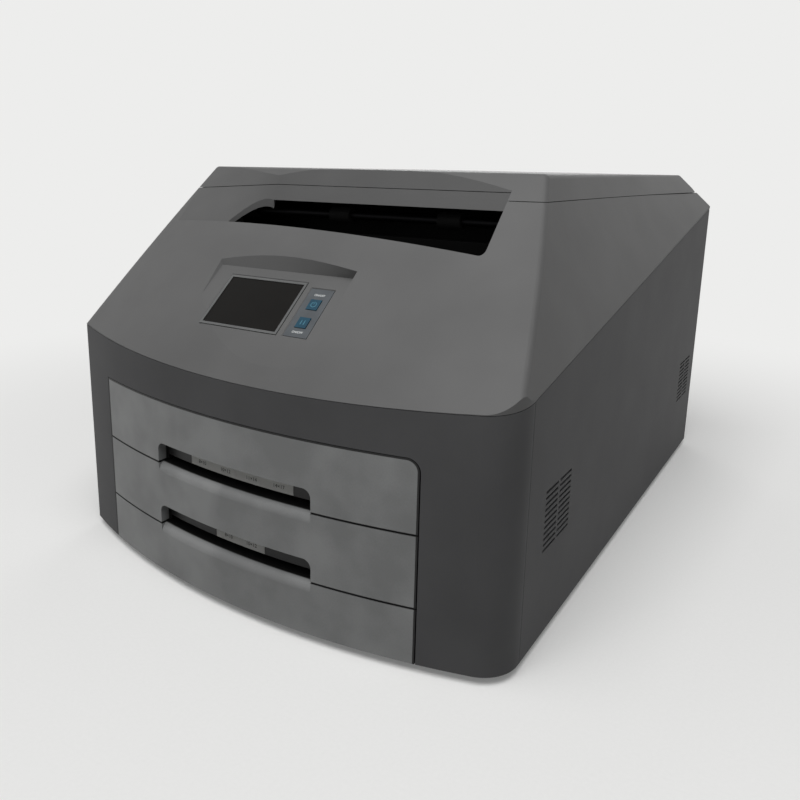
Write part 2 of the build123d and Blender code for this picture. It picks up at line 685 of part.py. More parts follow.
def runner_parts():
    """Inner frames with the four angle runners, drilled for the film transport shafts."""
    names = {-1: "left", 1: "right"}
    for side, name in names.items():
        face_x = ENGINE_X + side * FRAME_HALF
        x0, x1 = sorted((face_x, face_x + side * FRAME_THICKNESS))
        plate = block(x0, x1, FRAME_FRONT, FRAME_REAR, PAN_THICKNESS, PLATEAU_HEIGHT)
        below_hood = block(-WIDTH, WIDTH, 0, DEPTH, 0, PARTING_HEIGHT - 4 * WALL)
        plate &= hood_block(2 * WALL, PARTING_HEIGHT) + below_hood
        for y, z, radius in shaft_places():
            plate -= rod(x0 - 1, x1 + 1, y, z, radius + SHAFT_CLEARANCE)
        for y in FRAME_WINDOW_FRONTS:
            window_back = y + FRAME_WINDOW_LENGTH
            plate -= block(x0 - 1, x1 + 1, y, window_back, FRAME_WINDOW_BOTTOM, FRAME_WINDOW_TOP)
        save(f"{name}_inner_frame", plate)
        runners = []
        for level in range(DRAWER_COUNT):
            rim = BASE_BAND + level * DRAWER_PITCH + TRAY_LIFT + TRAY_DEPTH
            shelf = rim - TRAY_FLANGE_THICKNESS - RUN_GAP
            inner = ENGINE_X + side * (TRAY_HALF + RUNNER_THICKNESS)
            back = FRAME_REAR - RUNNER_HEIGHT
            a0, a1 = sorted((inner, face_x))
            angle = block(a0, a1, FRAME_FRONT, back, shelf - RUNNER_THICKNESS, shelf)
            b0, b1 = sorted((face_x, face_x - side * RUNNER_THICKNESS))
            angle += block(b0, b1, FRAME_FRONT, back, shelf - RUNNER_HEIGHT, shelf)
            runners.append(angle)
        save(f"{name}_tray_runners", Compound(runners))


def train_places():
    """Centres of the gears as (y, z): platen, idler, exit roller and motor pinion."""
    mesh = GEAR_MODULE / 2
    angle = radians(TRAIN_ANGLE)
    platen = (PLATEN_Y, PLATEN_Z)
    reach = mesh * (PLATEN_TEETH + IDLER_TEETH)
    idler = (PLATEN_Y + reach * cos(angle), PLATEN_Z + reach * sin(angle))
    reach += mesh * (IDLER_TEETH + EXIT_TEETH)
    exit_roller = (PLATEN_Y + reach * cos(angle), PLATEN_Z + reach * sin(angle))
    turn = angle - PINION_STEPS * 2 * pi / PLATEN_TEETH
    reach = mesh * (PLATEN_TEETH + PINION_TEETH)
    pinion = (PLATEN_Y + reach * cos(turn), PLATEN_Z + reach * sin(turn))
    return {"platen": platen, "idler": idler, "exit": exit_roller, "pinion": pinion, "pinion_angle": turn}


def pickup_z(level):
    """Height of a pick-up shaft above its tray."""
    rim = BASE_BAND + level * DRAWER_PITCH + TRAY_LIFT + TRAY_DEPTH
    return rim + PICKUP_ABOVE_TRAY + PICKUP_RADIUS


def shaft_places():
    """Bearing holes in the inner frames as (y, z, shaft radius)."""
    train = train_places()
    places = [(*train["platen"], SHAFT_RADIUS), (*train["exit"], SHAFT_RADIUS)]
    places += [(PICKUP_Y, pickup_z(level), SHAFT_RADIUS) for level in range(DRAWER_COUNT)]
    places.append((*train["pinion"], SHAFT_RADIUS))
    return places


def gear(teeth, phase, x0, x1, y, z, bore):
    """Spur gear about an axis along X with a tooth at the phase angle, straight-flanked teeth."""
    pitch = GEAR_MODULE * teeth / 2
    root = pitch - 1.3 * GEAR_MODULE
    tip = pitch + 0.9 * GEAR_MODULE
    step = 2 * pi / teeth
    root_half = 0.33 * step
    tip_half = 0.10 * step
    points = []
    for tooth in range(teeth):
        centre = phase + tooth * step
        for radius, offset in ((root, -root_half), (tip, -tip_half), (tip, tip_half), (root, root_half)):
            angle = centre + offset
            points.append((x0, y + radius * cos(angle), z + radius * sin(angle)))
    outline = Face(Wire(Polyline(*points, close=True).edges()))
    body = Solid.extrude(outline, Vector(x1 - x0, 0, 0))
    return body - rod(x0 - 1, x1 + 1, y, z, bore)


def tyres_on(shares, width, radius, y, z):
    """Rubber tyres along a shaft, each at its share of half the film's width."""
    tyres = []
    for share in shares:
        x = ENGINE_X + share * FILM_WIDTH / 2
        tyre = rod(x - width / 2, x + width / 2, y, z, radius)
        tyres.append(tyre - rod(x - width, x + width, y, z, SHAFT_RADIUS))
    return Compound(tyres)


def transport_parts():
    """Platen, exit and pick-up rollers with the gear train on the right inner frame."""
    train = train_places()
    half = FRAME_HALF + FRAME_THICKNESS
    left, right = ENGINE_X - half, ENGINE_X + half
    angle = radians(TRAIN_ANGLE)
    gear_x = (right + GEAR_SIDE_GAP, right + GEAR_SIDE_GAP + GEAR_WIDTH)
    end_x = gear_x[1] + SHAFT_END
    y, z = train["platen"]
    save("platen_shaft", rod(left - SHAFT_END, end_x, y, z, SHAFT_RADIUS))
    sleeve_half = FRAME_HALF - TRAY_FLANGE + 1
    sleeve = rod(ENGINE_X - sleeve_half, ENGINE_X + sleeve_half, y, z, PLATEN_RADIUS)
    save("platen_sleeve", sleeve - rod(left, right, y, z, SHAFT_RADIUS))
    save("platen_gear", gear(PLATEN_TEETH, angle, *gear_x, y, z, SHAFT_RADIUS))
    y, z = train["exit"]
    save("exit_shaft", rod(left - SHAFT_END, end_x, y, z, SHAFT_RADIUS))
    save("exit_tyres", tyres_on(EXIT_TYRES, EXIT_TYRE_WIDTH, EXIT_RADIUS, y, z))
    save("exit_gear", gear(EXIT_TEETH, angle + pi, *gear_x, y, z, SHAFT_RADIUS))
    y, z = train["idler"]
    save("idler_stud", rod(right, end_x, y, z, SHAFT_RADIUS))
    phase = angle + pi + pi / IDLER_TEETH
    save("idler_gear", gear(IDLER_TEETH, phase, *gear_x, y, z, SHAFT_RADIUS + SHAFT_CLEARANCE))
    y, z = train["pinion"]
    half = MOTOR_SIZE / 2
    face = right - FRAME_THICKNESS
    motor = block(face - MOTOR_SIZE, face, y - half, y + half, z - half, z + half)
    save("drive_motor", chamfer(motor.edges().filter_by(Axis.X), MOTOR_SIZE / 10))
    save("motor_shaft", rod(face, end_x, y, z, SHAFT_RADIUS))
    phase = train["pinion_angle"] + pi + pi / PINION_TEETH
    save("motor_pinion", gear(PINION_TEETH, phase, *gear_x, y, z, SHAFT_RADIUS))
    for level, name in enumerate(DRAWER_NAMES):
        z = pickup_z(level)
        save(f"{name}_pickup_shaft", rod(left - SHAFT_END, right + SHAFT_END, PICKUP_Y, z, SHAFT_RADIUS))
        tyres = tyres_on(PICKUP_TYRES, PICKUP_TYRE_WIDTH, PICKUP_RADIUS, PICKUP_Y, z)
        save(f"{name}_pickup_tyres", tyres)


def head_parts():
    """Thermal head over the platen with its finned heat sink, on a bar between the frames."""
    foot = PLATEN_Z + PLATEN_RADIUS + HEAD_GAP
    half = FILM_WIDTH / 2 + HEAD_MARGIN
    x0, x1 = ENGINE_X - half, ENGINE_X + half
    front = PLATEN_Y + HEAD_FRONT
    sink_foot = foot + HEAD_THICKNESS
    save("print_head", block(x0, x1, front, PLATEN_Y + HEAD_BACK, foot, sink_foot))
    sink = block(x0, x1, front, PLATEN_Y + SINK_BACK, sink_foot, sink_foot + HEAD_THICKNESS)
    for fin in range(SINK_FINS):
        y = front + FIN_THICKNESS + fin * FIN_PITCH
        sink += block(x0, x1, y, y + FIN_THICKNESS, sink_foot + FIN_PITCH, sink_foot + SINK_HEIGHT)
    bar_front = PLATEN_Y + SINK_BACK - HEAD_BAR_THICKNESS
    bar = block(ENGINE_X - FRAME_HALF, ENGINE_X + FRAME_HALF, bar_front, PLATEN_Y + SINK_BACK,
                sink_foot, sink_foot + HEAD_BAR_HEIGHT)
    save("head_heat_sink", sink - bar)
    save("head_bar", bar)


def guide_parts():
    """Rear film chute of two bent sheets that turns the film from the trays up to the platen."""
    half = FILM_WIDTH / 2 + CHUTE_MARGIN
    x0, x1 = ENGINE_X - half, ENGINE_X + half
    centre = Pos(ENGINE_X, CHUTE_TURN_Y, CHUTE_TURN_Z) * Rot(0, 90, 0)
    for name, radius, foot in zip(("outer", "inner"), CHUTE_RADII, CHUTE_FEET):
        sheet = centre * (Cylinder(radius, x1 - x0) - Cylinder(radius - CHUTE_SHEET, x1 - x0))
        back, top = CHUTE_TURN_Y + radius, CHUTE_TURN_Z + radius
        sheet &= block(x0, x1, CHUTE_TURN_Y, back + 1, CHUTE_TURN_Z, top + 1)
        sheet += block(x0, x1, back - CHUTE_SHEET, back, foot, CHUTE_TURN_Z)
        sheet += block(x0, x1, PLATEN_Y + CHUTE_TAB, CHUTE_TURN_Y, top - CHUTE_SHEET, top)
        for side in (-1, 1):
            a0, a1 = sorted((ENGINE_X + side * half, ENGINE_X + side * FRAME_HALF))
            tab_front = CHUTE_TURN_Y - 1.5 * CHUTE_TAB
            sheet += block(a0, a1, tab_front, tab_front + CHUTE_TAB, top - CHUTE_SHEET, top)
        save(f"{name}_film_guide", sheet)


def lower_housing():
    """Base pan, feet, side panels with vents, bezel, base band and rear panel."""
    edge = WALL + SKIN_GAP
    pan = extrude(plan_face(edge), PAN_THICKNESS)
    pan += extrude(plan_face(edge) - plan_face(edge + PAN_THICKNESS), PAN_FLANGE)
    save("base_pan", pan)
    feet = []
    for x in (-WIDTH / 2 + 50, WIDTH / 2 - 50):
        for y in (90, DEPTH - 60):
            feet.append(Pos(x, y, -FOOT_HEIGHT / 2) * Cone(FOOT_RADIUS - 2, FOOT_RADIUS, FOOT_HEIGHT))
    save("feet", Compound(feet))
    under_hood = half_space((0, 0, PARTING_HEIGHT - SEAM), (0, PARTING_RISE, -1))
    skin = extrude(plan_face(0) - plan_face(WALL), HUGE / 4) & under_hood
    rear_start = DEPTH - WALL
    panel_back = rear_start - PANEL_FIT
    left_panel = skin & block(-WIDTH, -WIDTH / 4, BEZEL_WRAP + SEAM / 2, panel_back, -1, HUGE)
    right_panel = skin & block(WIDTH / 4, WIDTH, BEZEL_WRAP + SEAM / 2, panel_back, -1, HUGE)
    save("left_side_panel", left_panel - vent_slots(-1))
    save("right_side_panel", right_panel - vent_slots(1))
    bezel = skin & block(-WIDTH, WIDTH, -1, BEZEL_WRAP - SEAM / 2, -1, HUGE)
    opening = block(OPENING_LEFT, OPENING_RIGHT, -1, BEZEL_WRAP + 20, -1, OPENING_TOP)
    corner = opening.edges().filter_by(Axis.Y).group_by(Axis.Z)[-1].sort_by(Axis.X)[-1]
    opening = fillet(corner, OPENING_CORNER)
    left, right = OPENING_LEFT - WALL, OPENING_RIGHT + WALL
    collar = front_solid(left, right, PAN_FLANGE + 1, OPENING_TOP + WALL, BEZEL_WRAP - 2 * WALL)
    bezel = bezel + collar - opening
    save("front_bezel", bezel)
    x0 = OPENING_LEFT + OPENING_GAP
    x1 = OPENING_RIGHT - OPENING_GAP
    high = BASE_BAND - OPENING_GAP / 2
    band = front_ring(x0, x1, 0, high, WALL) + front_solid(x0, x1, high - WALL, high, FASCIA_BACK)
    save("base_front", band - lip_cutter(high))
    save("rear_panel", rear_panel(rear_start))


def vent_slots(side):
    """Two groups of short level slots in one side panel."""
    slots = []
    pitch = (VENT_TOP - VENT_BOTTOM - VENT_SLOT_HEIGHT) / (VENT_ROWS - 1)
    length = (VENT_LENGTH - VENT_COLUMN_GAP * (VENT_COLUMNS - 1)) / VENT_COLUMNS
    x = side * WIDTH / 2
    for front in VENT_FRONTS:
        for column in range(VENT_COLUMNS):
            y = front + column * (length + VENT_COLUMN_GAP)
            for row in range(VENT_ROWS):
                z = VENT_BOTTOM + row * pitch
                slots.append(block(x - WALL * 2, x + WALL * 2, y, y + length, z, z + VENT_SLOT_HEIGHT))
    return Compound(slots)


def rear_block(x, half, y0, y1, grow=0.0):
    """Block of a rear fitting, given by the half sizes of its face and grown all round by a clearance."""
    wide, tall = half[0] + grow, half[1] + grow
    return block(x - wide, x + wide, y0, y1, FITTINGS_Z - tall, FITTINGS_Z + tall)


def rear_panel(rear_start):
    """Flat back with fan grille, power inlet, rocker switch and network socket openings."""
    half = WIDTH / 2 - PANEL_FIT
    panel = block(-half, half, rear_start, DEPTH, 0, parting_z(DEPTH) - SEAM - 1)
    quarter = GRILLE_PITCH / 4
    for row in range(-GRILLE_ROWS, GRILLE_ROWS + 1):
        z = FAN_Z + row * GRILLE_PITCH
        reach = sqrt((FAN_SIZE / 2 - FAN_TIP_GAP) ** 2 - (row * GRILLE_PITCH) ** 2)
        for x0, x1 in ((-reach, -quarter), (quarter, reach)):
            panel -= block(FAN_X + x0, FAN_X + x1, DEPTH - 2 * WALL, DEPTH + 1, z - quarter, z + quarter)
    for x, body in ((INLET_X, INLET_HALF), (SWITCH_X, SWITCH_HALF), (NETWORK_X, NETWORK_HALF)):
        panel -= rear_block(x, body, DEPTH - 2 * WALL, DEPTH + 1, PANEL_FIT)
    return panel


def rear_fittings():
    """Power inlet, rocker switch and network socket in the rear panel."""
    inner = DEPTH - WALL
    inlet = rear_block(INLET_X, INLET_HALF, inner - INLET_DEPTH, DEPTH + INLET_PROUD)
    inlet += rear_block(INLET_X, INLET_FLANGE_HALF, DEPTH, DEPTH + INLET_PROUD)
    cavity_floor = inner - INLET_CAVITY_DEPTH
    inlet -= rear_block(INLET_X, INLET_CAVITY_HALF, cavity_floor, DEPTH + 2 * INLET_PROUD)
    for x, z in INLET_PINS:
        pin = rear_block(INLET_X + x, INLET_PIN_HALF, cavity_floor - 1, DEPTH - INLET_PROUD)
        inlet += Pos(0, 0, z) * pin
    save("power_inlet", inlet)
    shell = rear_block(SWITCH_X, SWITCH_HALF, inner - SWITCH_DEPTH, DEPTH + SWITCH_PROUD)
    cavity_floor = inner - SWITCH_DEPTH + WALL
    shell -= rear_block(SWITCH_X, SWITCH_CAVITY_HALF, cavity_floor, DEPTH + 2 * SWITCH_PROUD)
    save("switch_shell", shell)
    half = SWITCH_CAVITY_HALF[0] - RUN_GAP
    rocker = rod(SWITCH_X - half, SWITCH_X + half, DEPTH - ROCKER_SINK, FITTINGS_Z, ROCKER_RADIUS)
    rocker -= rear_block(SWITCH_X, SWITCH_HALF, DEPTH - ROCKER_FLAT, DEPTH + ROCKER_RADIUS)
    save("switch_rocker", rocker)
    jack = rear_block(NETWORK_X, NETWORK_HALF, inner - NETWORK_DEPTH, DEPTH + NETWORK_PROUD)
    cavity_floor = inner - NETWORK_CAVITY_DEPTH
    jack -= rear_block(NETWORK_X, NETWORK_CAVITY_HALF, cavity_floor, DEPTH + 2 * NETWORK_PROUD)
    save("network_socket", jack)


def fan_parts():
    """Square fan frame with spokes and a stud, and the bladed rotor that runs on the stud."""
    half = FAN_SIZE / 2
    turn = Pos(FAN_X, DEPTH - WALL - FAN_DEPTH / 2, FAN_Z) * Rot(90, 0, 0)
    frame = Box(FAN_SIZE, FAN_SIZE, FAN_DEPTH) - Cylinder(half - FAN_WALL, FAN_DEPTH + 2)
    frame += Pos(0, 0, FAN_DEPTH / 2 - 2) * Cylinder(FAN_BOSS_RADIUS, 4)
    for spoke in range(FAN_SPOKES):
        arm = Pos(half / 2, 0, (FAN_DEPTH - FAN_WALL) / 2) * Box(half, 4, FAN_WALL)
        frame += Rot(0, 0, 30 + spoke * 360 / FAN_SPOKES) * arm
    frame &= Box(FAN_SIZE, FAN_SIZE, FAN_DEPTH)
    frame += Cylinder(FAN_STUD_RADIUS, FAN_DEPTH - 2 * FAN_WALL)
    save("fan_frame", turn * frame)
    bore = Cylinder(FAN_STUD_RADIUS + SHAFT_CLEARANCE, FAN_DEPTH)
    rotor = Pos(0, 0, -FAN_WALL) * (Cylinder(FAN_HUB_RADIUS, FAN_HUB_HEIGHT) - bore)
    tip = half - FAN_WALL - FAN_TIP_GAP
    start = FAN_HUB_RADIUS - FAN_WALL
    for blade in range(FAN_BLADES):
        sheet = Box(tip + 1 - start, BLADE_CHORD, BLADE_THICKNESS)
        sheet = Pos((start + tip + 1) / 2, 0, -FAN_WALL) * Rot(BLADE_PITCH_ANGLE, 0, 0) * sheet
        rotor += Rot(0, 0, blade * 360 / FAN_BLADES) * sheet
    rotor &= Cylinder(tip, FAN_DEPTH + 2)
    save("fan_rotor", turn * rotor)


def electronics_parts():
    """Closed power supply and the main board on its posts, on the base pan behind the trays."""
    back = DEPTH - SUPPLY_BEHIND
    right = SUPPLY_LEFT + SUPPLY_WIDTH
    save("power_supply", block(SUPPLY_LEFT, right, back - SUPPLY_LENGTH, back, PAN_THICKNESS, SUPPLY_TOP))
    front = DEPTH - BOARD_BEHIND - BOARD_LENGTH
    top = BOARD_Z + BOARD_THICKNESS
    board = block(BOARD_LEFT, BOARD_LEFT + BOARD_WIDTH, front, front + BOARD_LENGTH, BOARD_Z, top)
    for x in (BOARD_LEFT + BOARD_POST_INSET, BOARD_LEFT + BOARD_WIDTH - BOARD_POST_INSET):
        for y in (front + BOARD_POST_INSET, front + BOARD_LENGTH - BOARD_POST_INSET):
            board += block(x - BOARD_POST_HALF, x + BOARD_POST_HALF, y - BOARD_POST_HALF, y + BOARD_POST_HALF,
                           PAN_THICKNESS, BOARD_Z)
    for x, y, width, length, height in BOARD_PARTS:
        x0, y0 = BOARD_LEFT + x, front + y
        board += block(x0, x0 + width, y0, y0 + length, BOARD_Z + BOARD_THICKNESS / 2, BOARD_Z + height)
    save("main_board", board)


def output_bin():
    """Dark tub below the mouth that guides the film up and over the lip."""
    tub = mouth_block(RECESS_FLOOR + BIN_GAP, PLATEAU_HEIGHT, BIN_GAP + BIN_WALL)
    tub -= mouth_block(RECESS_FLOOR + BIN_GAP + BIN_FLOOR, PLATEAU_HEIGHT + 1, BIN_GAP)
    tub &= hood_block(WALL + SKIN_GAP, 10.0)
    tub -= recess_block(WALL + SKIN_GAP)
    left, right = MOUTH_LEFT - 10, RECESS_RIGHT + 10
    back = RECESS_WALL_FOOT
    low = RECESS_FLOOR + BIN_GAP + BIN_BACK_HEIGHT
    tub -= block(left, right, back - BIN_WALL, back + 4 * BIN_WALL, low, PLATEAU_HEIGHT)
    save("output_bin", tub)


hood_parts()
display_parts()
drawer_parts()
runner_parts()
transport_parts()
head_parts()
guide_parts()
lower_housing()
rear_fittings()
fan_parts()
electronics_parts()
output_bin()
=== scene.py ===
from math import pi, radians

import bpy
import numpy as np
from mathutils import Euler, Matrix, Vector


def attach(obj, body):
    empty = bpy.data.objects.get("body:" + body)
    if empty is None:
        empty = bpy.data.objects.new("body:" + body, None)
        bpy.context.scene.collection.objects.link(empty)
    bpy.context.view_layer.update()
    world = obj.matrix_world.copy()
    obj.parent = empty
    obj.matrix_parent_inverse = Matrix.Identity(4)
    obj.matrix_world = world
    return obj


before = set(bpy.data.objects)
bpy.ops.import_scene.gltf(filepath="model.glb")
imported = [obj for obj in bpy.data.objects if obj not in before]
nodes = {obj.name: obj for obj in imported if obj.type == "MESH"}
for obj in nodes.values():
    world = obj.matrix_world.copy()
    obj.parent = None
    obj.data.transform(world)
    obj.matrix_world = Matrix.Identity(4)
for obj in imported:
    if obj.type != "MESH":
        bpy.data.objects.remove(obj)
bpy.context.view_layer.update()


# Studio
# The printer stands on a pale seamless sheet, seen from its front right corner and a little
# above. One large soft lamp hangs overhead and in front, a weaker one stands behind, and a pale
# room fills the shadows.

PAPER = "EDEDEC"
CAMERA_PLACE = (0.4511, -0.8415, 0.4039)
CAMERA_TURN = (77.045, -1.134, 31.616)
FOCAL_LENGTH = 34.924
FRAME_SHIFT = (0.01676, -0.06789)
SHEET_REACH = 9.0
FADE_START = 0.35
FADE_END = 1.25
NEAR_GLOW = 0.15
SENSOR_WIDTH = 36.0
ROOM_FILL = 0.2
# each lamp: its place, the point it is turned to, its side in metres and its power in watts
LAMPS = {
    "overhead_lamp": ((0.25, -1.05, 2.25), (0.0, -0.05, 0.2), 1.8, 42.0),
    "rear_lamp": ((-0.7, 1.9, 1.3), (0.0, 0.3, 0.2), 1.4, 14.0),
}


def linear(code):
    """sRGB hex value to a linear colour with alpha 1, by the standard's curve."""
    steps = [int(code[i : i + 2], 16) / 255 for i in (0, 2, 4)]
    light = [c / 12.92 if c <= 0.04045 else ((c + 0.055) / 1.055) ** 2.4 for c in steps]
    return (*light, 1.0)


def add(tree, kind, links=None, **settings):
    """Adds one node. Settings are its properties, links are its inputs, as values or sockets."""
    node = tree.nodes.new(kind)
    for name, value in settings.items():
        setattr(node, name, value)
    for name, value in (links or {}).items():
        if isinstance(value, bpy.types.NodeSocket):
            tree.links.new(value, node.inputs[name])
        else:
            node.inputs[name].default_value = value
    return node


def new_material(name):
    """Material with an empty node tree."""
    made = bpy.data.materials.new(name)
    made.use_nodes = True
    made.node_tree.nodes.clear()
    return made, made.node_tree


def seen_rays(tree):
    """1 for rays that come from the camera, a gloss or a glass, else 0."""
    path = add(tree, "ShaderNodeLightPath").outputs
    seen = {0: path["Is Camera Ray"], 1: path["Is Glossy Ray"]}
    seen = add(tree, "ShaderNodeMath", seen, operation="MAXIMUM")
    seen = {0: seen.outputs[0], 1: path["Is Transmission Ray"]}
    return add(tree, "ShaderNodeMath", seen, operation="MAXIMUM").outputs[0]


def soft_lamp(name, place, target, size, watts):
    """Square soft lamp at a place, turned to a target."""
    lamp = bpy.data.lights.new(name, "AREA")
    lamp.shape = "SQUARE"
    lamp.size = size
    lamp.energy = watts
    holder = bpy.data.objects.new(name, lamp)
    holder.location = place
    holder.rotation_euler = (Vector(target) - Vector(place)).to_track_quat("-Z", "Y").to_euler()
    bpy.context.scene.collection.objects.link(holder)


def studio_camera():
    """The photograph's viewpoint."""
    lens = bpy.data.cameras.new("studio_camera")
    lens.lens = FOCAL_LENGTH
    lens.sensor_width = SENSOR_WIDTH
    lens.shift_x, lens.shift_y = FRAME_SHIFT
    lens.clip_start = 0.01
    camera = bpy.data.objects.new("studio_camera", lens)
    camera.location = CAMERA_PLACE
    camera.rotation_euler = Euler([radians(a) for a in CAMERA_TURN])
    bpy.context.scene.collection.objects.link(camera)
    bpy.context.scene.camera = camera


def pale_room():
    """World: a weak even fill, which camera, gloss and glass see as plain paper."""
    world = bpy.data.worlds.new("pale_room")
    world.use_nodes = True
    world.node_tree.nodes.clear()
    tree = world.node_tree
    fill = add(tree, "ShaderNodeBackground", {"Color": (1, 1, 1, 1), "Strength": ROOM_FILL})
    paper = add(tree, "ShaderNodeBackground", {"Color": linear(PAPER), "Strength": 1.0})
    mix = {0: seen_rays(tree), 1: fill.outputs[0], 2: paper.outputs[0]}
    mix = add(tree, "ShaderNodeMixShader", mix)
    add(tree, "ShaderNodeOutputWorld", {"Surface": mix.outputs[0]})
    bpy.context.scene.world = world


def floor_sheet():
    """Matt paper sheet that keeps the shadow and fades into the room with the distance."""
    r = SHEET_REACH
    sheet = bpy.data.meshes.new("floor_sheet")
    sheet.from_pydata([(-r, -r, 0), (r, -r, 0), (r, r, 0), (-r, r, 0)], [], [(0, 1, 2, 3)])
    floor = bpy.data.objects.new("floor_sheet", sheet)
    bpy.context.scene.collection.objects.link(floor)
    made, tree = new_material("matt_studio_paper")
    place = add(tree, "ShaderNodeTexCoord").outputs["Object"]
    # paper fibre of about 3 mm, so faint that it only keeps the floor from being one flat tone
    fibre = add(tree, "ShaderNodeTexNoise", {"Vector": place, "Scale": 330.0, "Detail": 3.0})
    tones = {0: fibre.outputs["Fac"], 6: linear("EFEFEE"), 7: linear("F5F5F4")}
    tone = add(tree, "ShaderNodeMix", tones, data_type="RGBA")
    # seen directly the sheet is pale; the light it throws back at the printer is that of a grey one
    seen = seen_rays(tree)
    paper = {0: seen, 6: linear("A6A6A5"), 7: tone.outputs[2]}
    paper = add(tree, "ShaderNodeMix", paper, data_type="RGBA")
    matt = add(tree, "ShaderNodeBsdfDiffuse", {"Color": paper.outputs[2], "Roughness": 0.6})
    glow = add(tree, "ShaderNodeEmission", {"Color": linear(PAPER), "Strength": 1.0})
    far = add(tree, "ShaderNodeVectorMath", {0: place}, operation="LENGTH")
    fade = {
        "Value": far.outputs["Value"],
        "From Min": FADE_START,
        "From Max": FADE_END,
        "To Min": NEAR_GLOW,
    }
    fade = add(tree, "ShaderNodeMapRange", fade, interpolation_type="SMOOTHSTEP")
    part = add(tree, "ShaderNodeMath", {0: fade.outputs[0], 1: seen}, operation="MULTIPLY")
    mix = {0: part.outputs[0], 1: matt.outputs[0], 2: glow.outputs[0]}
    mix = add(tree, "ShaderNodeMixShader", mix)
    add(tree, "ShaderNodeOutputMaterial", {"Surface": mix.outputs[0]})
    sheet.materials.append(made)


bpy.context.scene.view_settings.view_transform = "Standard"
studio_camera()
for name, settings in LAMPS.items():
    soft_lamp(name, *settings)
pale_room()
floor_sheet()


# Base pan and feet
# A pan of zinc-coated steel sheet, folded up along its edges. Four moulded rubber feet are
# pushed into it.

CRYSTAL_MM = 9.0


def dress(material, *names):
    """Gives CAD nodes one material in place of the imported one."""
    for name in names:
        mesh = nodes[name].data
        mesh.materials.clear()
        mesh.materials.append(material)


def plastic(
    name, low, high, grain_mm, roughness, relief_mm, patch_mm=45.0, patch_share=0.7, shine=0.3
):
    """Moulded plastic: two close tones in soft patches, with its grain as relief and gloss."""
    made, tree = new_material(name)
    place = add(tree, "ShaderNodeTexCoord").outputs["Object"]
    patch = {"Vector": place, "Scale": 1000 / patch_mm, "Detail": 3.0}
    patch = add(tree, "ShaderNodeTexNoise", patch)
    grain = {"Vector": place, "Scale": 1000 / grain_mm, "Detail": 3.0}
    grain = add(tree, "ShaderNodeTexNoise", grain)
    # this base keeps the sum of both patterns about a half, whatever their shares are
    base = 0.5 - patch_share / 2 - (1 - patch_share) / 4
    tone = {0: patch.outputs["Fac"], 1: patch_share, 2: base}
    tone = add(tree, "ShaderNodeMath", tone, operation="MULTIPLY_ADD")
    tone = {0: grain.outputs["Fac"], 1: (1 - patch_share) / 2, 2: tone.outputs[0]}
    tone = add(tree, "ShaderNodeMath", tone, operation="MULTIPLY_ADD")
    # noise stays near its middle, so this stretch brings out both tones
    spread = {"Value": tone.outputs[0], "From Min": 0.36, "From Max": 0.64}
    spread = add(tree, "ShaderNodeMapRange", spread)
    colour = {0: spread.outputs[0], 6: linear(low), 7: linear(high)}
    colour = add(tree, "ShaderNodeMix", colour, data_type="RGBA")
    gloss = {"Value": grain.outputs["Fac"], "To Min": roughness - 0.08, "To Max": roughness + 0.08}
    gloss = add(tree, "ShaderNodeMapRange", gloss)
    relief = {"Height": grain.outputs["Fac"], "Strength": 0.6, "Distance": relief_mm / 1000}
    relief = add(tree, "ShaderNodeBump", relief)
    skin = {
        "Base Color": colour.outputs[2],
        "Roughness": gloss.outputs[0],
        "Normal": relief.outputs[0],
        "IOR": 1.5,
        "Specular IOR Level": shine,
    }
    skin = add(tree, "ShaderNodeBsdfPrincipled", skin)
    add(tree, "ShaderNodeOutputMaterial", {"Surface": skin.outputs[0]})
    return made


def drawn_metal(name, low, high, roughness, squeeze, line_mm, relief_mm):
    """Bare metal: fine lines from noise squeezed across them, or soft spots where it is even."""
    made, tree = new_material(name)
    place = add(tree, "ShaderNodeTexCoord").outputs["Object"]
    along = add(tree, "ShaderNodeMapping", {"Vector": place, "Scale": squeeze})
    line = {"Vector": along.outputs[0], "Scale": 1000 / line_mm, "Detail": 4.0}
    line = add(tree, "ShaderNodeTexNoise", line)
    colour = {0: line.outputs["Fac"], 6: linear(low), 7: linear(high)}
    colour = add(tree, "ShaderNodeMix", colour, data_type="RGBA")
    gloss = {"Value": line.outputs["Fac"], "To Min": roughness - 0.1, "To Max": roughness + 0.1}
    gloss = add(tree, "ShaderNodeMapRange", gloss)
    relief = {"Height": line.outputs["Fac"], "Strength": 0.6, "Distance": relief_mm / 1000}
    relief = add(tree, "ShaderNodeBump", relief)
    skin = {
        "Base Color": colour.outputs[2],
        "Roughness": gloss.outputs[0],
        "Metallic": 1.0,
        "Normal": relief.outputs[0],
    }
    skin = add(tree, "ShaderNodeBsdfPrincipled", skin)
    add(tree, "ShaderNodeOutputMaterial", {"Surface": skin.outputs[0]})
    return made


def zinc_sheet():
    """Hot-dip zinc on steel sheet: flat crystals, each with its own grey and gloss."""
    made, tree = new_material("zinc_coated_sheet")
    place = add(tree, "ShaderNodeTexCoord").outputs["Object"]
    crystal = add(tree, "ShaderNodeTexVoronoi", {"Vector": place, "Scale": 1000 / CRYSTAL_MM})
    shade = add(tree, "ShaderNodeSeparateColor", {"Color": crystal.outputs["Color"]}).outputs["Red"]
    colour = {0: shade, 6: linear("7C7E82"), 7: linear("9A9C9F")}
    colour = add(tree, "ShaderNodeMix", colour, data_type="RGBA")
    gloss = add(tree, "ShaderNodeMapRange", {"Value": shade, "To Min": 0.42, "To Max": 0.58})
    skin = {"Base Color": colour.outputs[2], "Roughness": gloss.outputs[0], "Metallic": 1.0}
    skin = add(tree, "ShaderNodeBsdfPrincipled", skin)
    add(tree, "ShaderNodeOutputMaterial", {"Surface": skin.outputs[0]})
    return made


zinc = zinc_sheet()
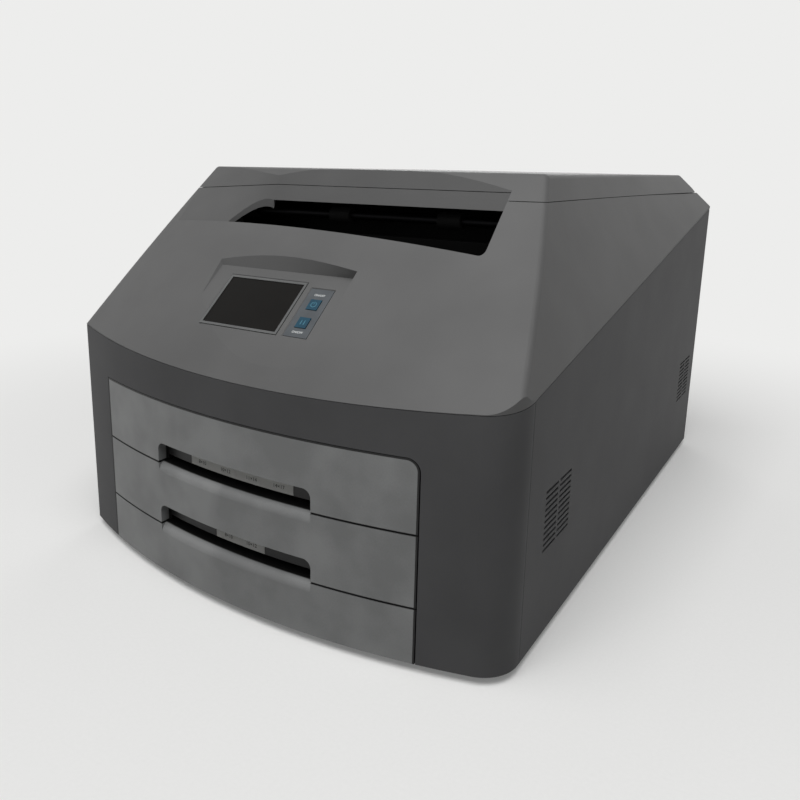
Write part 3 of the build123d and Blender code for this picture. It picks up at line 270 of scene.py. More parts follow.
# moulded rubber: black and dull, with a bloom that greys it a little
rubber = plastic("moulded_rubber", "121212", "1F1F1F", 1.5, 0.75, 0.08, 12.0)
dress(zinc, "base_pan")
dress(rubber, "feet")


# Inner frames and runners
# Two punched plates of zinc-coated steel stand on the pan, one on each side. Each carries two
# angle runners for the drawers' trays.

dress(zinc, "left_inner_frame", "right_inner_frame", "left_tray_runners", "right_tray_runners")


# Film transport
# Ground steel shafts run in the inner frames and carry ground rubber rollers. Moulded acetal
# gears on their right ends are driven by a stepper motor with a laminated body.

# ground steel: fine lines round the shaft, because the wheel turned it
ground_steel = drawn_metal("ground_steel", "8E9092", "C2C3C4", 0.28, (8, 1, 1), 4.0, 0.02)
# natural acetal: milky white and slightly waxy
acetal = plastic("natural_acetal", "D2D0C6", "E2E0D8", 0.8, 0.38, 0.02, 15.0)
# stacked steel laminations: lines 1 mm apart along the motor, drawn coarse enough to show
laminations = drawn_metal("motor_laminations", "3A3B3D", "77797B", 0.4, (1, 0.02, 0.02), 1.0, 0.05)
# painted shade: the exit shaft is coloured nearly black, so that nothing glints behind the output
# mouth
mouth_shade_shaft_black = drawn_metal("exit_shaft_black_as_mouth_shade", "0C0C0D", "1A1A1B", 0.5, (8, 1, 1), 4.0, 0.02)
dress(mouth_shade_shaft_black, "exit_shaft")
dress(ground_steel, "platen_shaft", "idler_stud", "motor_shaft")
dress(ground_steel, "lower_pickup_shaft", "upper_pickup_shaft")
dress(rubber, "platen_sleeve", "lower_pickup_tyres", "upper_pickup_tyres")
# dark rubber of the exit tyres: ground dead black, hardly any bloom
exit_rubber = plastic(
    "ground_black_rubber", "070707", "0C0C0C", 1.2, 0.85, 0.05, 8.0, patch_share=0.5, shine=0.1
)
dress(exit_rubber, "exit_tyres")
dress(acetal, "platen_gear", "idler_gear", "exit_gear", "motor_pinion")
dress(laminations, "drive_motor")


# Print head and film chute
# A glazed ceramic head strip is screwed under an extruded aluminium heat sink, on a steel bar.
# Two bent steel sheets turn the film up to it.

# painted shade: the heat sink is coloured dull and nearly black, so that the mouth in front of it
# stays dark
mouth_shade_sink_black = plastic(
    "heat_sink_black_as_mouth_shade", "0B0B0C", "131314", 1.0, 0.6, 0.02, 10.0, patch_share=0.5, shine=0.1
)
# painted shade: the steel head bar is coloured dull and near black, with a fine grain, so the mouth
# stays dark
mouth_shade_bar_black = plastic(
    "head_bar_black_as_mouth_shade", "0A0A0A", "111111", 1.4, 0.7, 0.05, 14.0, patch_share=0.5, shine=0.1
)
# glazed ceramic: smooth and pale, with hardly any grain
ceramic = plastic("glazed_ceramic", "C9C2B0", "D4CEBD", 0.6, 0.25, 0.01, 20.0)
dress(mouth_shade_sink_black, "head_heat_sink")
dress(ceramic, "print_head")
dress(mouth_shade_bar_black, "head_bar")
dress(zinc, "outer_film_guide", "inner_film_guide")


# Power supply and main board
# A folded steel box holds the power supply. The board beside it carries a processor under a
# finned heat sink, a shielded power stage, a white nylon connector and six capacitors.

BOARD_TOP = 0.0216
PROCESSOR = ((0.020, 0.060), (0.1955, 0.2355), 0.025)
POWER_STAGE = ((0.090, 0.150), (0.2355, 0.2855), 0.038)
CONNECTOR = ((0.000, 0.012), (0.2755, 0.3255), 0.032)
SINK_RISE = 0.014
SINK_BASE = 0.2
SINK_GAP = 0.0001
SINK_FINS = 9
CAP_COLUMNS = 64
CAP_ORDER = 8
CAP_ROOM = 1.06
CAPACITOR_RADIUS = 0.005
CAPACITOR_HEIGHT = 0.016
CAPACITOR_FIRST = (0.165, 0.195)
CAPACITOR_PITCH = 0.014
# the can's wall and top: a share of its radius and a depth below its rim, with a rolled groove
CAN_TOP = (
    (1, 0.004),
    (0.9, 0.0035),
    (1, 0.003),
    (1, 0.0006),
    (0.9, 0),
    (0.8, 0.0003),
    (0, 0.0003),
)


def solder_mask():
    """Green solder mask over copper: lighter tracks, drawn wider than real ones to show."""
    made, tree = new_material("green_solder_mask")
    place = add(tree, "ShaderNodeTexCoord").outputs["Object"]
    tracks = {
        "Vector": place,
        "Color1": linear("0C3A20"),
        "Color2": linear("0F4425"),
        "Mortar": linear("1E6A3C"),
        "Scale": 1.0,
        "Mortar Size": 0.0006,
        "Brick Width": 0.017,
        "Row Height": 0.0042,
    }
    tracks = add(tree, "ShaderNodeTexBrick", tracks)
    weave = add(tree, "ShaderNodeTexNoise", {"Vector": place, "Scale": 1100.0, "Detail": 2.0})
    gloss = {"Value": weave.outputs["Fac"], "To Min": 0.3, "To Max": 0.45}
    gloss = add(tree, "ShaderNodeMapRange", gloss)
    skin = {"Base Color": tracks.outputs["Color"], "Roughness": gloss.outputs[0]}
    skin = add(tree, "ShaderNodeBsdfPrincipled", skin)
    add(tree, "ShaderNodeOutputMaterial", {"Surface": skin.outputs[0]})
    return made


def piece(name, points, faces, material, body, slot):
    """One new piece from its points and faces. It rides on a body and has one material; its slot is
    not used.
    """
    mesh = bpy.data.meshes.new(name)
    mesh.from_pydata(np.asarray(points, float).tolist(), [], faces)
    mesh.materials.append(material)
    made = bpy.data.objects.new(name, mesh)
    bpy.context.scene.collection.objects.link(made)
    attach(made, body)


def prism(outline, near, far):
    """Closed prism: the outline's points (u, v) at height near and again at height far."""
    count = len(outline)
    low = np.column_stack([outline, np.full(count, near)])
    high = np.column_stack([outline, np.full(count, far)])
    step = np.arange(count)
    after = np.roll(step, -1)
    sides = np.column_stack([step, after, after + count, step + count]).tolist()
    return np.vstack([low, high]), [step[::-1].tolist(), (step + count).tolist(), *sides]


def ring_quads(rows, columns):
    """Quads between each closed ring of points and the next one."""
    col = np.arange(columns)
    nxt = np.roll(col, -1)
    row = np.arange(rows - 1)[:, None] * columns
    quads = np.stack([row + col, row + nxt, row + columns + nxt, row + columns + col], -1)
    return quads.reshape(-1, 4)


def tube(rings):
    """Closed tube: rings of points one after the other, with a flat cap at each end."""
    rows, columns = rings.shape[:2]
    near = np.arange(columns)
    far = near + (rows - 1) * columns
    faces = [near[::-1].tolist(), *ring_quads(rows, columns).tolist(), far.tolist()]
    return rings.reshape(-1, 3), faces


def repeated(points, groups, places):
    """The same points and groups of faces once at each place."""
    shift = np.arange(len(places))[:, None, None] * len(points)
    faces = []
    for group in groups:
        faces += (shift + group).reshape(-1, group.shape[1]).tolist()
    return (np.asarray(places, float)[:, None, :] + points).reshape(-1, 3), faces


def superellipse(order, columns):
    """Points of |u|^n + |v|^n = 1: cos a and sin a, each raised to 2/n, at even steps of a."""
    a = np.arange(columns) * 2 * pi / columns
    circle = np.column_stack([np.cos(a), np.sin(a)])
    return np.sign(circle) * np.abs(circle) ** (2 / order)


def turned(profile, places, columns=28):
    """Turned pieces: each profile point (r, h) goes round Z, x = r cos a, y = r sin a, z = h.

    The first and last profile points lie on the axis and close the piece.
    """
    r, h = np.asarray(profile, float).T
    a = np.arange(columns) * 2 * pi / columns
    level = np.outer(h[1:-1], np.ones(columns))
    rings = [np.outer(r[1:-1], np.cos(a)), np.outer(r[1:-1], np.sin(a)), level]
    rings = np.stack(rings, -1).reshape(-1, 3)
    one = np.vstack([[(0, 0, h[0])], rings, [(0, 0, h[-1])]])
    col = np.arange(columns)
    nxt = np.roll(col, -1)
    tip = len(one) - 1
    first_fan = np.stack([np.zeros_like(col), nxt + 1, col + 1], -1)
    last_fan = np.stack([np.full_like(col, tip), tip - columns + col, tip - columns + nxt], -1)
    wall = ring_quads(len(level), columns) + 1
    return repeated(one, (first_fan, wall, last_fan), places)


def comb(block, rise, fins):
    """Finned heat sink on a chip: a comb outline across X, carried along Y."""
    (x0, x1), (y0, y1), foot = block
    base = foot + rise * SINK_BASE
    pitch = (x1 - x0) / (fins - 0.5)
    starts = x0 + np.arange(fins) * pitch
    teeth = np.stack([starts, starts, starts + pitch / 2, starts + pitch / 2], -1).reshape(-1)
    heights = np.tile([base, foot + rise, foot + rise, base], fins)
    outline = np.column_stack([teeth, heights])
    outline = np.vstack([outline, [(x1, foot + SINK_GAP), (x0, foot + SINK_GAP)]])
    points, faces = prism(outline, y0, y1)
    return points[:, [0, 2, 1]], faces


def cap_over(block, skin, rounding):
    """Cover over a plain block of the board: a superellipse in plan, its top edges rounded."""
    (x0, x1), (y0, y1), top = block
    half = np.array([(x1 - x0) / 2 + skin, (y1 - y0) / 2 + skin]) * CAP_ROOM
    centre = np.array([(x0 + x1) / 2, (y0 + y1) / 2])
    turn = np.linspace(0, pi / 2, 5)
    insets = np.concatenate([[0], rounding * (1 - np.cos(turn))])
    heights = np.concatenate([[BOARD_TOP], top + skin - rounding * (1 - np.sin(turn))])
    plan = superellipse(CAP_ORDER, CAP_COLUMNS)
    rings = centre + (half - insets[:, None])[:, None, :] * plan
    levels = np.broadcast_to(heights[:, None, None], (*rings.shape[:2], 1))
    return tube(np.concatenate([rings, levels], -1))


dress(solder_mask(), "main_board", "key_board")
dress(zinc, "power_supply")
# black anodised aluminium: dull, with a fine even grain
anodised = plastic("black_anodised_aluminium", "17181A", "232426", 1.0, 0.45, 0.02, 10.0)
sink = comb(PROCESSOR, SINK_RISE, SINK_FINS)
piece("processor_heat_sink", *sink, anodised, "housing", "heat_sink")
# tinned steel shield: bright and smooth, slightly dimpled
tinned = drawn_metal("tinned_steel", "A6A8A8", "C8C9C8", 0.3, (1, 1, 1), 5.0, 0.05)
shield = cap_over(POWER_STAGE, skin=0.0004, rounding=0.0015)
piece("power_stage_shield", *shield, tinned, "housing", "sheet_metal")
# moulded nylon: off-white and waxy
nylon = plastic("white_nylon", "CFCBBD", "DEDACD", 0.8, 0.4, 0.02, 10.0)
connector = cap_over(CONNECTOR, skin=0.0003, rounding=0.0006)
piece("board_connector", *connector, nylon, "housing", "gear_plastic")
# sleeve shrunk over an aluminium can: dark and smooth, with a soft gloss
sleeve = plastic("shrunk_capacitor_sleeve", "14161C", "1D2028", 0.8, 0.3, 0.01, 6.0)
can = [(0, BOARD_TOP), (CAPACITOR_RADIUS, BOARD_TOP)]
can += [
    (CAPACITOR_RADIUS * share, BOARD_TOP + CAPACITOR_HEIGHT - drop) for share, drop in CAN_TOP
]
# they stand in two rows of three
first_x, first_y = CAPACITOR_FIRST
steps = np.arange(3) * CAPACITOR_PITCH
spots = [(first_x + across, first_y + along, 0) for across in steps[:2] for along in steps]
piece("board_capacitors", *turned(can, spots), sleeve, "housing", "board")


# Drawers
# Two film trays of black moulded plastic stand behind bowed fronts, which are painted a lighter
# satin grey like the base band below them. A strip in each finger pocket lists film sizes.

LABEL_CENTRE = (0.030, 0.3775)
LABEL_RADIUS = 0.7314
# each film size's place along its strip, and the height of each strip's line
UPPER_SIZES = {"8×10": -0.0465, "10×12": -0.0155, "11×14": 0.0165, "14×17": 0.0475}
LOWER_SIZES = {"8×10": -0.0135, "10×12": 0.0150}
UPPER_LINE = 0.1328
LOWER_LINE = 0.0688
INK_HEIGHT = 0.0050
INK_FILM = 0.00004
PATCH_MM = 42.0
SPRAY_MM = 1.3
# painted shade, near black: within a radius in the pockets, inside the fronts' rims and along each
# seam
POCKET_SHADE_RADIUS = 0.7318
POCKET_SHADE_FADE = 0.0015
FRONT_SIDES = (-0.199, 0.183)
FRONT_TOP = 0.1855
FRONT_CORNERS = (0.0005, 0.011)
RIM_SHADE_WIDTH = 0.0015
RIM_SHADE_FADE = 0.0003
SEAM_FIRST = 0.058
SEAM_PITCH = 0.064
SEAM_SHADE_HALF = 0.0010
SEAM_SHADE_FADE = 0.0002

# black moulded plastic: the housing's hidden sides, nearly without gloss
black_plastic = plastic("black_moulded_plastic", "0D0D0D", "151515", 0.9, 0.5, 0.02)


def rim_distance(tree, place):
    """Distance to the fronts' outline, negative inside: a rectangle, round at its top corners.

    With R a side's corner radius and q the way past the corner's centre, it is
    |max(q, 0)| + min(max(qx, qz), 0) - R.
    """
    split = add(tree, "ShaderNodeSeparateXYZ", {"Vector": place}).outputs
    left, right = FRONT_SIDES
    small, large = FRONT_CORNERS
    found = {"x": split["X"], "z": split["Z"]}
    steps = (
        ("off", "SUBTRACT", "x", (left + right) / 2),
        ("on_right", "GREATER_THAN", "off", 0.0),
        ("radius", "MULTIPLY_ADD", "on_right", large - small, small),
        ("qx", "ABSOLUTE", "off"),
        ("qx", "SUBTRACT", "qx", (right - left) / 2),
        ("qx", "ADD", "qx", "radius"),
        ("qz", "SUBTRACT", "z", FRONT_TOP),
        ("qz", "ADD", "qz", "radius"),
        ("past_x", "MAXIMUM", "qx", 0.0),
        ("past_z", "MAXIMUM", "qz", 0.0),
        ("square", "MULTIPLY", "past_z", "past_z"),
        ("square", "MULTIPLY_ADD", "past_x", "past_x", "square"),
        ("reach", "SQRT", "square"),
        ("within", "MAXIMUM", "qx", "qz"),
        ("within", "MINIMUM", "within", 0.0),
        ("distance", "ADD", "reach", "within"),
        ("distance", "SUBTRACT", "distance", "radius"),
    )
    for name, kind, *inputs in steps:
        links = {i: found.get(value, value) for i, value in enumerate(inputs)}
        found[name] = add(tree, "ShaderNodeMath", links, operation=kind).outputs[0]
    return found["distance"]


def painted_front(name, low, high, painted_shade):
    """Satin paint on moulded plastic: grey in soft patches, with painted shade in pockets, at rims
    and seams.
    """
    made, tree = new_material(name)
    place = add(tree, "ShaderNodeTexCoord").outputs["Object"]
    patch = {"Vector": place, "Scale": 1000 / PATCH_MM, "Detail": 2.0}
    patch = add(tree, "ShaderNodeTexNoise", patch)
    spray = {"Vector": place, "Scale": 1000 / SPRAY_MM, "Detail": 3.0}
    spray = add(tree, "ShaderNodeTexNoise", spray)
    both = {0: spray.outputs["Fac"], 1: 0.25, 2: patch.outputs["Fac"]}
    both = add(tree, "ShaderNodeMath", both, operation="MULTIPLY_ADD")
    spread = {"Value": both.outputs[0], "From Min": 0.45, "From Max": 0.8}
    spread = add(tree, "ShaderNodeMapRange", spread)
    paint = {0: spread.outputs[0], 6: linear(low), 7: linear(high)}
    paint = add(tree, "ShaderNodeMix", paint, data_type="RGBA")
    # painted shade: the pocket's floor and the strip's seat lie behind the bow and are painted near
    # black
    middle = (-LABEL_CENTRE[0], -LABEL_CENTRE[1], 0)
    from_axis = {"Vector": place, "Location": middle, "Scale": (1, 1, 0)}
    from_axis = add(tree, "ShaderNodeMapping", from_axis)
    radius = add(tree, "ShaderNodeVectorMath", {0: from_axis.outputs[0]}, operation="LENGTH")
    # painted shade at the seams between the fronts, one pitch apart: pingpong gives the way to the
    # nearest one
    height = add(tree, "ShaderNodeSeparateXYZ", {"Vector": place}).outputs["Z"]
    height = add(tree, "ShaderNodeMath", {0: height, 1: SEAM_FIRST}, operation="SUBTRACT")
    height = {0: height.outputs[0], 1: SEAM_PITCH / 2}
    height = add(tree, "ShaderNodeMath", height, operation="PINGPONG")
    # each painted shade mask: its measure, where the satin grey begins and where it covers fully
    masks = (
        (radius.outputs["Value"], POCKET_SHADE_RADIUS, POCKET_SHADE_RADIUS + POCKET_SHADE_FADE),
        (rim_distance(tree, place), -RIM_SHADE_WIDTH, -RIM_SHADE_WIDTH - RIM_SHADE_FADE),
        (height.outputs[0], SEAM_SHADE_HALF - SEAM_SHADE_FADE, SEAM_SHADE_HALF + SEAM_SHADE_FADE),
    )
    cover = 1.0
    for measure, begins, full in masks:
        mask = {"Value": measure, "From Min": begins, "From Max": full}
        mask = add(tree, "ShaderNodeMapRange", mask)
        cover = {0: cover, 1: mask.outputs[0]}
        cover = add(tree, "ShaderNodeMath", cover, operation="MULTIPLY").outputs[0]
    colour = {0: cover, 6: linear(painted_shade), 7: paint.outputs[2]}
    colour = add(tree, "ShaderNodeMix", colour, data_type="RGBA")
    gloss = {"Value": spray.outputs["Fac"], "To Min": 0.36, "To Max": 0.52}
    gloss = add(tree, "ShaderNodeMapRange", gloss)
    relief = {"Height": spray.outputs["Fac"], "Strength": 0.6, "Distance": 0.000012}
    relief = add(tree, "ShaderNodeBump", relief)
    skin = {
        "Base Color": colour.outputs[2],
        "Roughness": gloss.outputs[0],
        "Normal": relief.outputs[0],
        "IOR": 1.5,
        "Specular IOR Level": 0.35,
    }
    skin = add(tree, "ShaderNodeBsdfPrincipled", skin)
    add(tree, "ShaderNodeOutputMaterial", {"Surface": skin.outputs[0]})
    return made


# satin paint over moulded plastic: even grey with faint clouds about 40 mm across
# 0B0B0B is painted shade, near black in the pockets, along the rims and at the seams
satin_grey = painted_front("satin_paint_and_painted_shade", "7D7E7E", "8E8F8F", "0B0B0B")
dress(black_plastic, "lower_film_tray", "upper_film_tray")
dress(satin_grey, "lower_drawer_front", "upper_drawer_front", "base_front")
# coated paper strip: pale grey and matt, with a faint fibre
label_paper = plastic("coated_label_paper", "B0B0AD", "BCBCB9", 0.6, 0.65, 0.01, 8.0)
dress(label_paper, "lower_size_label", "upper_size_label")
# printing ink: dull black with a slightly uneven tone
ink = plastic("black_printing_ink", "0E0E0E", "1A1A1A", 0.5, 0.6, 0.005, 3.0)


def flat_text(word, size, place, thickness, bold):
    """One word about a place: x runs along the line, y up it and z through its thickness."""
    line = bpy.data.curves.new(word, "FONT")
    line.body = word
    line.size = size
    line.align_x = line.align_y = "CENTER"
    line.extrude = thickness
    line.offset = bold
    holder = bpy.data.objects.new(word, line)
    flat = bpy.data.meshes.new_from_object(holder)
    at = np.empty(len(flat.vertices) * 3)
    flat.vertices.foreach_get("co", at)
    faces = [list(face.vertices) for face in flat.polygons]
    bpy.data.objects.remove(holder)
    bpy.data.meshes.remove(flat)
    return at.reshape(-1, 3) + (*place, 0), faces


def joined(parts):
    """Several sets of points and faces as one set."""
    points, faces, start = [], [], 0
    for some, group in parts:
        points.append(some)
        faces += [[corner + start for corner in face] for face in group]
        start += len(some)
    return np.vstack(points), faces


def print_sizes(name, sizes, line, body):
    """Film sizes bent round a pocket's strip: x = c + (R + h) sin s/R, y = d - (R + h) cos s/R.

    Here s is the way along the strip and h the way up through the print.
    """
    points, faces = joined(
        flat_text(word, INK_HEIGHT, (place, 0), INK_FILM, 0) for word, place in sizes.items()
    )
    turn = (points[:, 0] - LABEL_CENTRE[0]) / LABEL_RADIUS
    reach = LABEL_RADIUS + INK_FILM + points[:, 2]
    x = LABEL_CENTRE[0] + reach * np.sin(turn)
    y = LABEL_CENTRE[1] - reach * np.cos(turn)
    piece(name, np.column_stack([x, y, points[:, 1] + line]), faces, ink, body, "inner_black")


print_sizes("upper_film_sizes", UPPER_SIZES, UPPER_LINE, "upper_drawer")
print_sizes("lower_film_sizes", LOWER_SIZES, LOWER_LINE, "lower_drawer")


# Lower housing
# Bezel, side panels and rear panel, moulded in dark grey with a fine spark-eroded grain. The
# rear panel and the fan behind it are held by pan-head screws.

PANEL_FACE = 0.3630
PANEL_SCREW_X = 0.243
PANEL_SCREW_Z = (0.022, 0.125, 0.228, 0.331)
FAN_CENTRE = (0.120, 0.233)
FAN_SCREW_HALF = 0.03575
SCREW_RADIUS = 0.0028
SCREW_HEAD = 0.0013
SCREW_FOOT = 0.0004
SCREW_ROWS = 22
SCREW_COLUMNS = 48
DOME_DROP = 0.3
CROSS_HALF = 0.0004
CROSS_REACH = 0.0016
CROSS_DEPTH = 0.0008

# spark-eroded plastic: dark grey, matt, with a pebbled grain drawn at 1.2 mm so that it shows
dark_housing = plastic(
    "spark_eroded_dark_plastic", "4F4F50", "575758", 1.2, 0.6, 0.03, 90.0, shine=0.15
)
dress(dark_housing, "front_bezel", "left_side_panel", "right_side_panel", "rear_panel")
# zinc-plated screw: bright, with faint soft spots
plated_screw = drawn_metal("zinc_plated_screw", "9B9DA0", "C4C6C8", 0.3, (1, 1, 1), 1.0, 0.01)


def pan_heads(name, spots):
    """Cross-recess screws facing the rear: a dome h = H (1 - 0.3 (r/R)^4), sunk in its cross."""
    r = np.linspace(0.04, 1, SCREW_ROWS)[:, None] * SCREW_RADIUS
    a = np.arange(SCREW_COLUMNS)[None, :] * 2 * pi / SCREW_COLUMNS
    u, v = r * np.cos(a), r * np.sin(a)
    h = SCREW_HEAD * (1 - DOME_DROP * (r / SCREW_RADIUS) ** 4) + 0 * a
    near, far = np.minimum(abs(u), abs(v)), np.maximum(abs(u), abs(v))
    h = h - ((near < CROSS_HALF) & (far < CROSS_REACH)) * CROSS_DEPTH
    under = np.stack([u[-1], v[-1], np.full(SCREW_COLUMNS, -SCREW_FOOT)], -1)
    one = np.vstack([np.stack([u, v, h], -1).reshape(-1, 3), under])
    # facing the rear: u runs to -X, v to +Z and the height to +Y
    one = np.stack([-one[:, 0], PANEL_FACE + one[:, 2], one[:, 1]], -1)
    quads = ring_quads(SCREW_ROWS + 1, SCREW_COLUMNS)[:, [0, 3, 2, 1]]
    top = np.arange(SCREW_COLUMNS)[None]
    foot = top[:, ::-1] + SCREW_ROWS * SCREW_COLUMNS
    places = [(x, 0, z) for x, z in spots]
    points, faces = repeated(one, (quads, top, foot), places)
    piece(name, points, faces, plated_screw, "housing", "steel")


spots = [(x, z) for x in (-PANEL_SCREW_X, PANEL_SCREW_X) for z in PANEL_SCREW_Z]
pan_heads("rear_panel_screws", spots)
ends = (-FAN_SCREW_HALF, FAN_SCREW_HALF)
pan_heads("fan_screws", [(FAN_CENTRE[0] + x, FAN_CENTRE[1] + z) for x in ends for z in ends])


# Rear fittings
# Power inlet with three nickel-plated pins, rocker switch with its two plain marks, network
# socket with eight gilt contacts and a cooling fan, all in black plastic.

INLET = (-0.150, 0.068)
PIN_SPOTS = ((-0.007, -0.002), (0.0, 0.002), (0.007, -0.002))
PIN_HALF = (0.0011, 0.0021)
PIN_ENDS = (0.3485, 0.3616)
PIN_ORDER = 6
SWITCH = (-0.112, 0.068)
ROCKER_FACE = 0.3625
NETWORK = (-0.060, 0.068)
CONTACTS = 8
CONTACT_PITCH = 0.00102
CONTACT_RISE = 0.0038
CONTACT_HALF = (0.00025, 0.00025)
CONTACT_ENDS = (0.3510, 0.3605)
CONTACT_ORDER = 4
BLADE_COLUMNS = 24
TIP_CLOSING = 0.6
# the rocker's marks: how far from its middle, how deep and how high, then each mark's measures
MARK_RISE = 0.0029
MARK_FILM = (-0.0002, 0.00005)
BAR_MARK = (0.0005, 0.0018)
RING_MARK = (0.0009, 0.0004, 0.02)

dress(black_plastic, "power_inlet", "switch_shell", "switch_rocker", "network_socket")
dress(black_plastic, "fan_frame", "fan_rotor")
# nickel plate: bright and a little warm, drawn along the pin
nickel = drawn_metal("nickel_plated_brass", "A9A596", "CBC8BC", 0.22, (3, 0.3, 3), 1.5, 0.01)
# gold flash over copper alloy: yellow and bright
gilt = drawn_metal("gold_flashed_contact", "B98F3A", "DDB45A", 0.25, (3, 0.3, 3), 1.0, 0.01)


def blades(name, spots, half, ends, order, material):
    """Blunt bars to the rear: |x/a|^n + |z/b|^n = 1 carried along Y, closing round at its tip."""
    tip = min(half)
    turn = np.linspace(0, pi / 2, 6)[:-1]
    scale = np.concatenate([[1], 1 - (1 - np.cos(turn)) * TIP_CLOSING])
    along = np.concatenate([[ends[0]], ends[1] - tip + tip * np.sin(turn)])
    ring = superellipse(order, BLADE_COLUMNS) * half * scale[:, None, None]
    y = np.broadcast_to(along[:, None, None], (*ring.shape[:2], 1))
    one = np.concatenate([ring[..., :1], y, ring[..., 1:]], -1).reshape(-1, 3)
    quads = ring_quads(len(scale), BLADE_COLUMNS)[:, [1, 0, 3, 2]]
    root = np.arange(BLADE_COLUMNS)[None]
    end = root[:, ::-1] + (len(scale) - 1) * BLADE_COLUMNS
    places = [(x, 0, z) for x, z in spots]
    points, faces = repeated(one, (quads, root, end), places)
    piece(name, points, faces, material, "housing", "steel")


pins = [(INLET[0] + x, INLET[1] + z) for x, z in PIN_SPOTS]
blades("inlet_pins", pins, PIN_HALF, PIN_ENDS, PIN_ORDER, nickel)
contacts = (np.arange(CONTACTS) - (CONTACTS - 1) / 2) * CONTACT_PITCH
contacts = [(NETWORK[0] + x, NETWORK[1] + CONTACT_RISE) for x in contacts]
blades("network_contacts", contacts, CONTACT_HALF, CONTACT_ENDS, CONTACT_ORDER, gilt)

# pad printing: a thin opaque white film
white_print = plastic("white_pad_print", "C9CCCC", "D8DADA", 0.5, 0.45, 0.003, 3.0)


def ring_outline(radius, width, gap):
    """Open ring: the outer arc one way and the inner arc back, with a gap at the top."""
    a = pi / 2 + np.linspace(gap, 2 * pi - gap, 40)
    arc = np.column_stack([np.cos(a), np.sin(a)])
    return np.vstack([arc * (radius + width / 2), arc[::-1] * (radius - width / 2)])


def bar_outline(u, v, width, height):
    """Upright bar about (u, v)."""
    return np.array([
        (u - width / 2, v - height / 2),
        (u + width / 2, v - height / 2),
        (u + width / 2, v + height / 2),
        (u - width / 2, v + height / 2),
    ])


outlines = (bar_outline(0, MARK_RISE, *BAR_MARK), ring_outline(*RING_MARK) - (0, MARK_RISE))
marks, faces = joined(prism(outline, *MARK_FILM) for outline in outlines)
u, v, h = marks.T
marks = np.column_stack([SWITCH[0] - u, ROCKER_FACE + h, SWITCH[1] + v])
piece("rocker_marks", marks, faces, white_print, "switch", "label")


# Hood and lid
# The sloping hood and its lid, hinged on two steel pins at the rear, are moulded in mid grey
# with the same fine grain. A black tub under the output mouth catches the film.

# spark-eroded plastic: mid grey, matt, with a pebbled grain drawn at 1.2 mm so that it shows
hood_grey = plastic("spark_eroded_grey_plastic", "585858", "606060", 1.2, 0.55, 0.03, 90.0)
# painted shade: the bin's plastic is coloured dead black, so that the mouth stays dark
mouth_shade_bin_black = plastic(
    "output_bin_black_as_mouth_shade", "060606", "0A0A0A", 0.9, 0.85, 0.02, 30.0, patch_share=0.5, shine=0.05
)
dress(hood_grey, "hood", "top_lid")
dress(ground_steel, "hinge_pins")
dress(mouth_shade_bin_black, "output_bin")


# Seam seals
# Black foam strips are glued inside the hood: one down each side and a little way round the
# front corner, with a lip on the rim under the lid, and one behind the rear panel's seam.

# each corner of the section: its way out across the flank and across the slope, and its height
SEAL_SECTION = (
    (-0.0029, -0.0040, 0.3741),
    (-0.0019, -0.0029, 0.3741),
    (-0.0019, -0.0029, 0.3767),
    (0.0027, 0.0020, 0.3767),
    (0.0027, 0.0020, 0.3771),
    (-0.0019, -0.0029, 0.3771),
    (-0.0019, -0.0029, 0.3779),
    (-0.0029, -0.0040, 0.3779),
)
SEAL_REAR = 0.352
SEAL_RETURNS = {-1: -0.2045, 1: 0.187}
CORNER_CUT = 0.0040
REAR_SEAL_PLACE = (0.3598, 0.35445)
REAR_SEAL_HALF = (0.0014, 0.0022)
REAR_SEAL_REACH = 0.190
# the rim's flank: half width in front, its spread further back, where that begins and its power
RIM_FLANK = (0.2096, 0.1627, -0.12, 2.7)
# the slope right of the mouth: lowest y, its x and the parabola's breadth
RIGHT_SLOPE = (-0.2062, 0.030, 1.8644)
# the slope left of the mouth: y at the corner, its x and the fall
LEFT_SLOPE = (-0.1758, -0.205, 0.105)


def rim_x(y):
    """Half width inside the hood's rim: w + k max(y - y0, 0)^p, so it is straight before y0."""
    half, spread, start, power = RIM_FLANK
    return half + spread * np.maximum(y - start, 0) ** power


def rim_y(side, x):
    """Y inside the slope at the rim's height: a parabola right of the mouth, a line left of it."""
    if side > 0:
        low, middle, breadth = RIGHT_SLOPE
        return low + (x - middle) ** 2 / breadth
    corner, place, fall = LEFT_SLOPE
    return corner - fall * (x - place)


def rim_path(side, across, ahead):
    """The rim's inner line moved outwards: down a flank, over the cut corner, along the slope."""
    corner_x = side * (rim_x(-0.2) + across)
    corner_y = rim_y(side, corner_x) - ahead
    cut = CORNER_CUT + across
    y = np.linspace(SEAL_REAR, corner_y + cut, 18)
    flank = np.column_stack([side * (rim_x(y) + across), y])
    x = np.linspace(corner_x - side * cut, SEAL_RETURNS[side], 6)
    return np.vstack([flank, np.column_stack([x, rim_y(side, x) - ahead])])


def lid_seal(side):
    """Foam strip with a lip along one side (-1 or 1): an L-shaped section carried along the rim."""
    paths = [(rim_path(side, across, ahead), z) for across, ahead, z in SEAL_SECTION[::side]]
    rings = np.stack([np.column_stack([path, np.full(len(path), z)]) for path, z in paths], 1)
    return tube(rings)


# closed-cell foam: black and dull, with fine open pores
foam = plastic(
    "closed_cell_foam", "0B0B0B", "131313", 1.0, 0.9, 0.2, 6.0, patch_share=0.5, shine=0.1
)
piece("left_lid_seal", *lid_seal(-1), foam, "housing", "rubber")
piece("right_lid_seal", *lid_seal(1), foam, "housing", "rubber")
